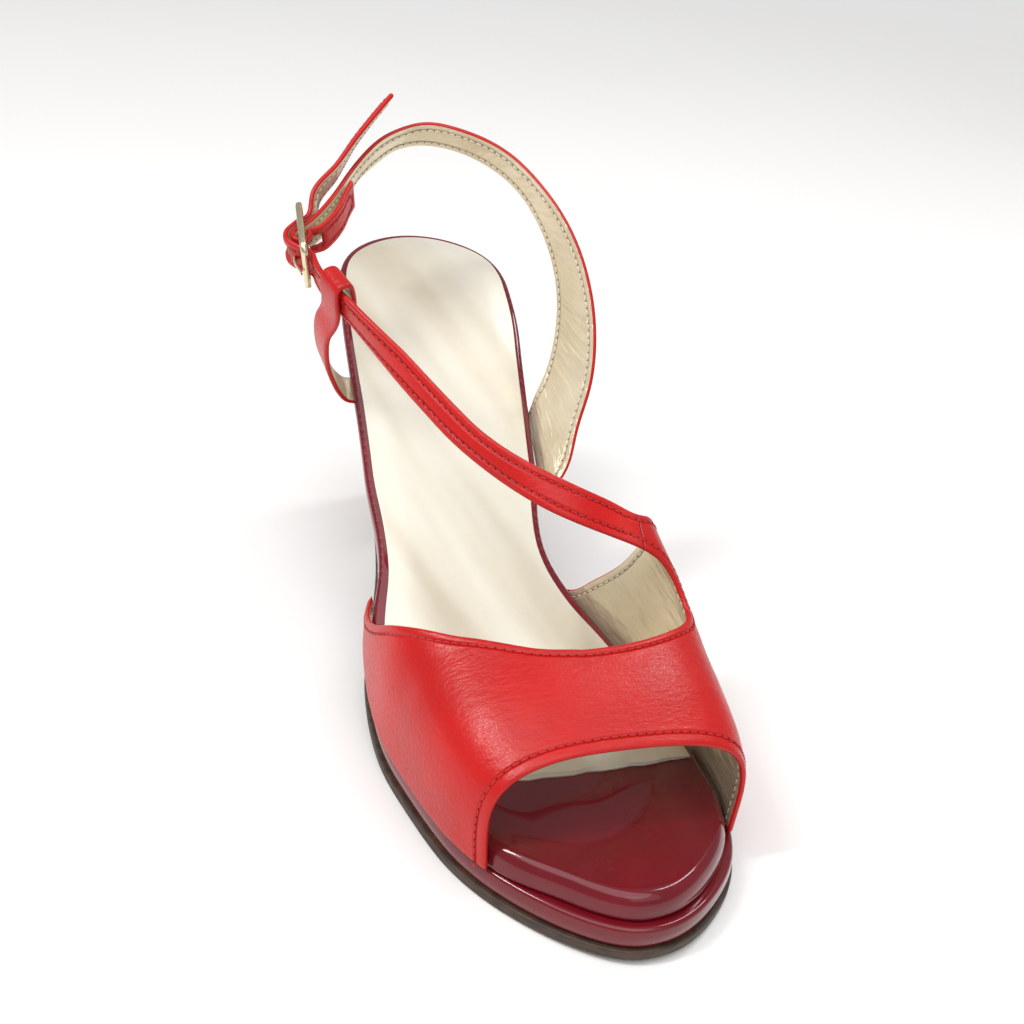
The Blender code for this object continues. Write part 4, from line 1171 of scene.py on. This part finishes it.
slingShape = {
    "pitch": 1.1 * mm, "columns": 18, "crown": 0.25 * mm, "slot": 5.2 * mm,
    "strap": [
        (0.428, 0.276, -0.070, 0.288, 0.320, -0.150), (0.429, 0.286, 0.012, 0.297, 0.322, -0.020),
        (0.419, 0.355, 0.130, 0.302, 0.334, 0.110), (0.397, 0.396, 0.270, 0.294, 0.363, 0.177),
        (0.377, 0.451, 0.489, 0.278, 0.397, 0.350), (0.350, 0.467, 0.686, 0.259, 0.403, 0.514),
        (0.314, 0.453, 0.837, 0.235, 0.383, 0.643), (0.271, 0.409, 0.941, 0.204, 0.338, 0.741),
        (0.224, 0.332, 0.998, 0.173, 0.271, 0.807), (0.181, 0.221, 1.038, 0.145, 0.172, 0.838),
        (0.148, 0.072, 1.039, 0.118, 0.056, 0.833), (0.123, -0.064, 0.995, 0.100, -0.069, 0.798),
        (0.119, -0.149, 0.941, 0.104, -0.160, 0.770), (0.127, -0.214, 0.917, 0.119, -0.231, 0.740),
        (0.144, -0.274, 0.898, 0.137, -0.301, 0.712), (0.162, -0.327, 0.879, 0.157, -0.353, 0.685),
    ],
    # along the buckle as a share of the way to its end bar, then out of it in millimetres
    "approach": [(-1.45, -9.6), (-1.0, -6.7), (-0.62, -3.9), (-0.36, -1.2)],
    "under": [(-0.24, -5.4), (-0.62, -8.8), (-1.10, -11.5), (-1.58, -13.3), (-2.05, -15.4)],
}


def makeSling():
    s = slingShape
    pairs = [(placeAt(*row[:3]), placeAt(*row[3:])) for row in s["strap"]]
    fold = [bucklePoint(endBar * along, out * mm) for along, out in s["approach"]]
    bend = len(pairs) + len(fold)
    for k in range(9):
        angle = math.radians(115 - 230 * k / 8)
        fold.append(bucklePoint(foldRadius * math.cos(angle), foldRadius * math.sin(angle)))
    fold += [bucklePoint(endBar * along, out * mm) for along, out in s["under"]]
    below = buckleAxes()[2]
    for i, point in enumerate(fold):
        ahead = fold[min(i + 1, len(fold) - 1)] - fold[max(i - 1, 0)]
        low, high = levelPair(point, ahead.normalized(), shoe["strapWidth"], -below)
        if (high - low).dot(-below) < 0:
            low, high = high, low
        pairs.append((high, low))  # the sling's rows have their upper edge first
    rows = smoothRows(pairs, s["pitch"], s["columns"])
    middle = s["columns"] // 2
    bendStart = nearestRow(rows, sum(pairs[bend], Vector()) / 2)
    easeRows(rows, 8, 0, bendStart - 6)
    crownStrip(rows, s["crown"], 12, bendStart - 12)
    rows = closeEnds(rows)
    centre = bucklePoint(0, 0)
    holes = {r for r in range(bendStart - 8, len(rows)) if (rows[r][middle] - centre).length < s["slot"]}
    sheet = Sheet()
    sheet.addRows(rows, gaps=holes, half=2)
    behind = rows[min(range(len(rows)), key=lambda r: rows[r][middle].x)][middle]
    bm = sheet.build((behind, Vector((-1, 0, 0))))
    measureEdges(bm, [(line, 0.0) for line in (*bothSides(rows), rows[-1])])
    return bm


slingSheet = makeSling()
print("sling drawn")


# --- side tab with its keeper ---

tabShape = {
    "pitch": 0.8 * mm, "columns": 18, "edge": 1.2 * mm,
    "tab": [
        (0.262, -0.352, -0.074), (0.263, -0.386, -0.064), (0.267, -0.420, -0.005), (0.275, -0.452, 0.100),
        (0.286, -0.482, 0.235), (0.301, -0.502, 0.400), (0.319, -0.508, 0.580), (0.336, -0.498, 0.710),
    ],
}


def makeTab():
    front, back = placeAt(*upperShape["strap"][-1][:3]), placeAt(*upperShape["strap"][-1][3:])
    end = bucklePoint(endBar, underBar)
    middle = ((front + back) / 2).lerp(end, 0.38)
    run = (end - (front + back) / 2).normalized()
    up = (back - front).normalized()
    up = (up - run * up.dot(run)).normalized()
    out = run.cross(up).normalized()
    out = -out if out.y > 0 else out
    half, clear = shoe["strapWidth"] / 2, shoe["wall"] + 3 * shoe["gap"]
    # the keeper's loop round the strap: up the strap, out of it
    ring = [(-0.45 * half, clear), (0.5 * half, clear), (half + 0.75 * clear, 0.6 * clear),
            (half + 0.75 * clear, -0.6 * clear), (0.5 * half, -clear), (-0.5 * half, -clear),
            (-half - 0.5 * clear, -clear)]
    route = [placeAt(*row) for row in tabShape["tab"]] + [middle + up * a + out * b for a, b in ring]
    footRun = Vector((-0.87, 0, 0.50)).normalized()
    pairs = []
    for i, point in enumerate(route):
        ahead = (route[min(i + 1, len(route) - 1)] - route[max(i - 1, 0)]).normalized()
        pairs.append(levelPair(point, ahead, shoe["strapWidth"], footRun.lerp(run, min(i / len(tabShape["tab"]), 1.0))))
    rows = smoothRows(pairs, tabShape["pitch"], tabShape["columns"])
    rows = closeEnds(easeRows(rows, 2, 0, len(rows)))
    sheet = Sheet()
    sheet.addRows(rows)
    bm = sheet.build((middle + out * clear, out))
    measureEdges(bm, [(line, 0.0) for line in bothSides(rows)])
    distance = bm.verts.layers.float["edgeDistance"]
    for vert in bm.verts:  # no stitched groove: past the edge the distance counts as far
        vert[distance] *= 1.0 if vert[distance] < tabShape["edge"] else 40.0
    return bm


tabSheet = makeTab()


# --- stitches: one tree lays thread along every line that is drawn for it ---

stitchShape = {"pitch": 2.1 * mm, "length": 1.6 * mm, "thread": 0.22 * mm, "hole": 0.21 * mm, "lift": 0.03 * mm,
               "shortest": 4 * mm}


def stitchTree():
    tree = bpy.data.node_groups.new("stitchRow", "GeometryNodeTree")
    for label, kind in (("Geometry", "Geometry"), ("Pitch", "Float"), ("Stitch Length", "Float"),
                        ("Thread Radius", "Float"), ("Hole Radius", "Float"),
                        ("Thread", "Material"), ("HoleShade", "Material")):
        tree.interface.new_socket(label, in_out="INPUT", socket_type="NodeSocket" + kind)
    tree.interface.new_socket("Geometry", in_out="OUTPUT", socket_type="NodeSocketGeometry")
    given, result = tree.nodes.new("NodeGroupInput").outputs, tree.nodes.new("NodeGroupOutput").inputs

    def add(kind, values=None, **settings):
        return addNode(tree, kind, values, **settings).outputs

    curve = add("GeometryNodeMeshToCurve", {"Mesh": given["Geometry"]})["Curve"]
    even = add("GeometryNodeResampleCurve", {"Curve": curve, "Length": given["Pitch"]}, mode="LENGTH")["Curve"]
    tangent = add("GeometryNodeInputTangent")[0]
    turn = add("FunctionNodeAlignRotationToVector", {"Vector": tangent}, axis="Z")["Rotation"]
    bead = add("GeometryNodeMeshUVSphere", {"Segments": 8, "Rings": 6, "Radius": 1.0})["Mesh"]
    half = mathNode(tree, "MULTIPLY", given["Stitch Length"], 0.5)
    size = add("ShaderNodeCombineXYZ", {"X": given["Thread Radius"], "Y": given["Thread Radius"], "Z": half})["Vector"]
    thread = add("GeometryNodeTransform", {"Geometry": bead, "Scale": size})["Geometry"]
    # the needle hole lies half a pitch further on: a dark bead, painted shade in the hole, marked for its own finish
    onward = add("ShaderNodeCombineXYZ", {"Z": mathNode(tree, "MULTIPLY", given["Pitch"], 0.5)})["Vector"]
    spot = add("ShaderNodeCombineXYZ", {axis: given["Hole Radius"] for axis in "XYZ"})["Vector"]
    pit = add("GeometryNodeTransform", {"Geometry": bead, "Translation": onward, "Scale": spot})["Geometry"]
    marked = add("GeometryNodeStoreNamedAttribute", {"Geometry": pit, "Name": "needleHoleShade", "Value": 1.0},
                 data_type="FLOAT", domain="FACE")["Geometry"]
    both = addNode(tree, "GeometryNodeJoinGeometry", {"Geometry": thread})
    tree.links.new(marked, both.inputs["Geometry"])
    smooth = add("GeometryNodeSetShadeSmooth", {"Geometry": both.outputs["Geometry"]})["Geometry"]
    laid = add("GeometryNodeInstanceOnPoints", {"Points": even, "Instance": smooth, "Rotation": turn})["Instances"]
    real = add("GeometryNodeRealizeInstances", {"Geometry": laid})["Geometry"]
    painted = add("GeometryNodeSetMaterial", {"Geometry": real, "Material": given["Thread"]})["Geometry"]
    found = add("GeometryNodeInputNamedAttribute", {"Name": "needleHoleShade"}, data_type="FLOAT")["Attribute"]
    isHole = add("FunctionNodeCompare", {"A": found, "B": 0.5})["Result"]
    done = add("GeometryNodeSetMaterial", {"Geometry": painted, "Selection": isHole, "Material": given["HoleShade"]})
    tree.links.new(done["Geometry"], result["Geometry"])
    return tree


stitchRowTree = stitchTree()


def tidyLine(points, rounds=6):
    # an even, slightly smoothed line
    for _ in range(rounds):
        inner = [b * 0.5 + (a + c) * 0.25 for a, b, c in zip(points, points[1:], points[2:])]
        points = [points[0], *inner, points[-1]]
    return points


def makeStitches(name, lines, colour):
    mesh = bpy.data.meshes.new(name)
    verts, links = [], []
    for line in lines:
        if sum((b - a).length for a, b in zip(line, line[1:])) < stitchShape["shortest"]:
            continue
        start = len(verts)
        verts += tidyLine(line)
        links += [(start + k, start + k + 1) for k in range(len(line) - 1)]
    mesh.from_pydata(verts, links, [])
    rows = bpy.data.objects.new(name, mesh)
    bpy.context.scene.collection.objects.link(rows)
    modifier = rows.modifiers.new("stitches", "NODES")
    modifier.node_group = stitchRowTree
    values = {"Pitch": stitchShape["pitch"], "Stitch Length": stitchShape["length"],
              "Thread Radius": stitchShape["thread"], "Hole Radius": stitchShape["hole"],
              "Thread": finishes[colour + "Thread"], "HoleShade": finishes[colour + "HoleShade"]}
    for item in stitchRowTree.interface.items_tree:
        if item.item_type == "SOCKET" and item.in_out == "INPUT" and item.name in values:
            modifier[item.identifier] = values[item.name]
    bpy.context.view_layer.update()
    plain = bpy.data.meshes.new_from_object(rows.evaluated_get(bpy.context.evaluated_depsgraph_get()))
    rows.modifiers.clear()
    rows.data = plain
    return rows


outside = shoe["wall"] / 2 + stitchShape["lift"]
redLines = contourLines(upperSheet, upperShape["stitchInset"], outside)
paleLines = contourLines(upperSheet, upperShape["stitchInset"], -outside)


def crossRow(rows, index, lift):
    # a row of stitches straight across a strip
    row, before, after = rows[index], rows[index - 1], rows[index + 1]
    out = (after[9] - before[9]).cross(row[-1] - row[0]).normalized()
    out = -out if out.dot(Vector((0, 0, 1))) < 0 else out
    margin = 0.26 * (row[-1] - row[0]).length
    return [p + out * lift for p in row if min((p - row[0]).length, (p - row[-1]).length) > margin]


redLines.append(crossRow(strapRun, seamIndex + 1, outside))
slingRed = contourLines(slingSheet, upperShape["stitchInset"], outside)
slingPale = contourLines(slingSheet, upperShape["stitchInset"], -outside)
upperPiece = wallPiece("upperLeather", upperSheet)
slingPiece = wallPiece("slingStrap", slingSheet)
tabPiece = wallPiece("sideTab", tabSheet)
upperStitches = makeStitches("upperStitches", redLines, "red")
upperLiningStitches = makeStitches("upperLiningStitches", paleLines, "pale")
slingStitches = makeStitches("slingStitches", slingRed, "red")
slingLiningStitches = makeStitches("slingLiningStitches", slingPale, "pale")
print("leather and stitches built")


# --- buckle and prong ---

def makeBuckle():
    b = buckleShape
    forward, outward, below = buckleAxes()
    middle = placeAt(*b["place"])
    half, bar = b["length"] / 2, b["bar"]
    reach = b["width"] / 2

    def outline(halfX, halfY, corner):
        # rounded rectangle, counted from the same place at every size
        points = []
        for cx, cy, start in ((1, 1, 0), (-1, 1, 90), (-1, -1, 180), (1, -1, 270)):
            for k in range(9):
                turn = math.radians(start + 90 * k / 8)
                points.append((cx * (halfX - corner) + corner * math.cos(turn),
                               cy * (halfY - corner) + corner * math.sin(turn)))
        return points

    def at(x, y, out):
        return middle + forward * x + below * y + outward * (out - b["arch"] * (x / half) ** 2)

    bm = bmesh.new()
    outer, inner = outline(half, reach, b["outerCorner"]), outline(half - bar, reach - bar, b["innerCorner"])
    ringCount = 16
    rings = []
    for k in range(ringCount):
        # an oval section, a little flatter than round
        turn = 2 * math.pi * k / ringCount
        side = math.copysign(abs(math.cos(turn)) ** 0.75, math.cos(turn))
        rise = math.copysign(abs(math.sin(turn)) ** 0.75, math.sin(turn))
        share = 0.5 + 0.5 * side
        rings.append([bm.verts.new(at(ix + (ox - ix) * share, iy + (oy - iy) * share, rise * b["thickness"] / 2))
                      for (ix, iy), (ox, oy) in zip(inner, outer)])
    skinRows(bm, rings + rings[:1])
    # the middle bar, let into both sides
    rows = []
    for k in range(13):
        y = (reach - bar * 0.6) * (2 * k / 12 - 1)
        row = []
        for m in range(12):
            turn = 2 * math.pi * m / 12
            row.append(bm.verts.new(at(b["barHalf"] * math.cos(turn), y, b["barRise"] * math.sin(turn))))
        rows.append(row)
    skinRows(bm, rows)
    bm.faces.new(rows[0])
    bm.faces.new(rows[-1])
    return closedPiece("buckleFrame", bm, ["gold"], 45)


def makeProng():
    b = buckleShape
    route = []
    for k in range(15):
        angle = math.radians(-45 - 225 * k / 14)
        route.append(Vector((b["prongTurn"] * math.cos(angle), b["prongTurn"] * math.sin(angle))))
    half = b["length"] / 2 + 0.6 * mm
    high = b["prongHigh"]
    bends = [route[-1], Vector((3.2 * mm, high)), Vector((half * 0.62, high)), Vector((half, b["prongTip"]))]
    route += smoothPath(bends, 8)[1:]
    bm = bmesh.new()
    rows = []
    for i, p in enumerate(route):
        run = (route[min(i + 1, len(route) - 1)] - route[max(i - 1, 0)]).normalized()
        side = Vector((-run.y, run.x))
        slim = 1 - 0.35 * smoothStep(len(route) - 12, len(route) - 1, i)
        row = []
        for m in range(12):
            turn = 2 * math.pi * m / 12
            q = p + side * b["prongHalf"] * slim * math.cos(turn)
            row.append(bm.verts.new(bucklePoint(q.x, q.y, b["prong"] / 2 * slim * math.sin(turn))))
        rows.append(row)
    skinRows(bm, rows)
    bm.faces.new(rows[0])
    bm.faces.new(rows[-1])
    return closedPiece("buckleProng", bm, ["gold"], 45)


framePiece, prongPiece = makeBuckle(), makeProng()
print("buckle built")


# --- what every piece stands for ---

for piece, nodes, slot in (
    (outsolePiece, ["outsole"], "sole_leather"), (platformPiece, ["platform"], "burgundy_patent"),
    (boardPiece, ["insole_board"], "burgundy_patent"), (sockPiece, ["sock"], "sock_leather"),
    (heelPiece, ["heel"], "burgundy_patent"), (topPiece, ["heel_top_piece"], "heel_tip"),
    (upperPiece, ["upper"], "red_leather"), (upperStitches, ["upper"], "red_leather"),
    (upperLiningStitches, ["upper"], "red_leather"), (slingPiece, ["sling_strap"], "red_leather"),
    (slingStitches, ["sling_strap"], "red_leather"), (slingLiningStitches, ["sling_strap"], "red_leather"),
    (tabPiece, ["side_tab"], "red_leather"), (framePiece, ["buckle_frame"], "pale_gold"),
    (prongPiece, ["buckle_prong"], "pale_gold"),
):
    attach(piece, "root")
    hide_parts(*nodes)


# --- camera, light and floor ---

view = {
    "camera": (0.35819, -0.09586, 0.21211), "lens": 43.6,
    # the picture's right and up, and the way back to the camera
    "right": (0.4369, 0.8768, 0.2009), "up": (-0.5325, 0.0721, 0.8433), "back": (0.7249, -0.4755, 0.4984),
    "aim": (272, 462), "photoSize": 1024, "photoLens": 1256.03,
}
camera = bpy.data.objects.new("camera", bpy.data.cameras.new("camera"))
camera.data.lens = view["lens"]
camera.data.sensor_width = 36
camera.data.clip_start = 0.01
turned = Matrix((view["right"], view["up"], view["back"])).transposed()
offCentre = Vector(((view["aim"][0] - view["photoSize"] / 2) / view["photoLens"],
                    -(view["aim"][1] - view["photoSize"] / 2) / view["photoLens"], -1)).normalized()
swing = Vector((0, 0, -1)).rotation_difference(offCentre).to_matrix()
camera.matrix_world = Matrix.Translation(view["camera"]) @ (turned @ swing).to_4x4()
bpy.context.scene.collection.objects.link(camera)
bpy.context.scene.camera = camera

lights = [
    # name, where it stands, width, height, watts, colour
    ("keySoftbox", (0.125, -0.56, 0.78), 0.11, 0.36, 3.4, (1, 0.985, 0.96)),
    ("medialSoftbox", (-0.17, 0.50, 0.76), 0.12, 0.28, 1.4, (1, 0.99, 0.97)),
    ("frontFill", (0.75, 0.10, 0.55), 0.60, 0.50, 0.7, (1, 1, 1)),
]
for name, place, width, height, watts, colour in lights:
    lamp = bpy.data.lights.new(name, "AREA")
    lamp.shape = "RECTANGLE"
    lamp.size, lamp.size_y, lamp.energy, lamp.color = width, height, watts, colour
    holder = bpy.data.objects.new(name, lamp)
    holder.location = place
    holder.rotation_euler = (Vector(place) - Vector((0.08, 0, 0.05))).to_track_quat("Z", "Y").to_euler()
    bpy.context.scene.collection.objects.link(holder)

ceiling = bpy.data.lights.new("ceiling", "SUN")
ceiling.energy, ceiling.angle = 1.5, math.radians(60)
holder = bpy.data.objects.new("ceiling", ceiling)
holder.rotation_euler = Vector((0.30, -0.15, 1)).to_track_quat("Z", "Y").to_euler()
bpy.context.scene.collection.objects.link(holder)

world = bpy.data.worlds.new("studio")
world.use_nodes = True
world.node_tree.nodes["Background"].inputs["Color"].default_value = (1, 1, 1, 1)
world.node_tree.nodes["Background"].inputs["Strength"].default_value = 0.38
bpy.context.scene.world = world
bpy.context.scene.view_settings.view_transform = "Standard"

floorMesh = bpy.data.meshes.new("floor")
reach = 8.0
corners = [(-reach, -reach, 0), (reach, -reach, 0), (reach, reach, 0), (-reach, reach, 0)]
floorMesh.from_pydata(corners, [], [(0, 1, 2, 3)])
floor = bpy.data.objects.new("floor", floorMesh)
floorFinish, tree, surface, place = newMaterial("paleFloor", {"Roughness": 0.6, "Specular IOR Level": 0.25})
floorTone = mapRange(tree, noiseNode(tree, place, 3.0, 2.0), 0.3, 0.7)
tree.links.new(mixColor(tree, floorTone, (0.93, 0.925, 0.915), (0.945, 0.942, 0.936)), surface["Base Color"])
floorMesh.materials.append(floorFinish)
bpy.context.scene.collection.objects.link(floor)

print("scene ready")
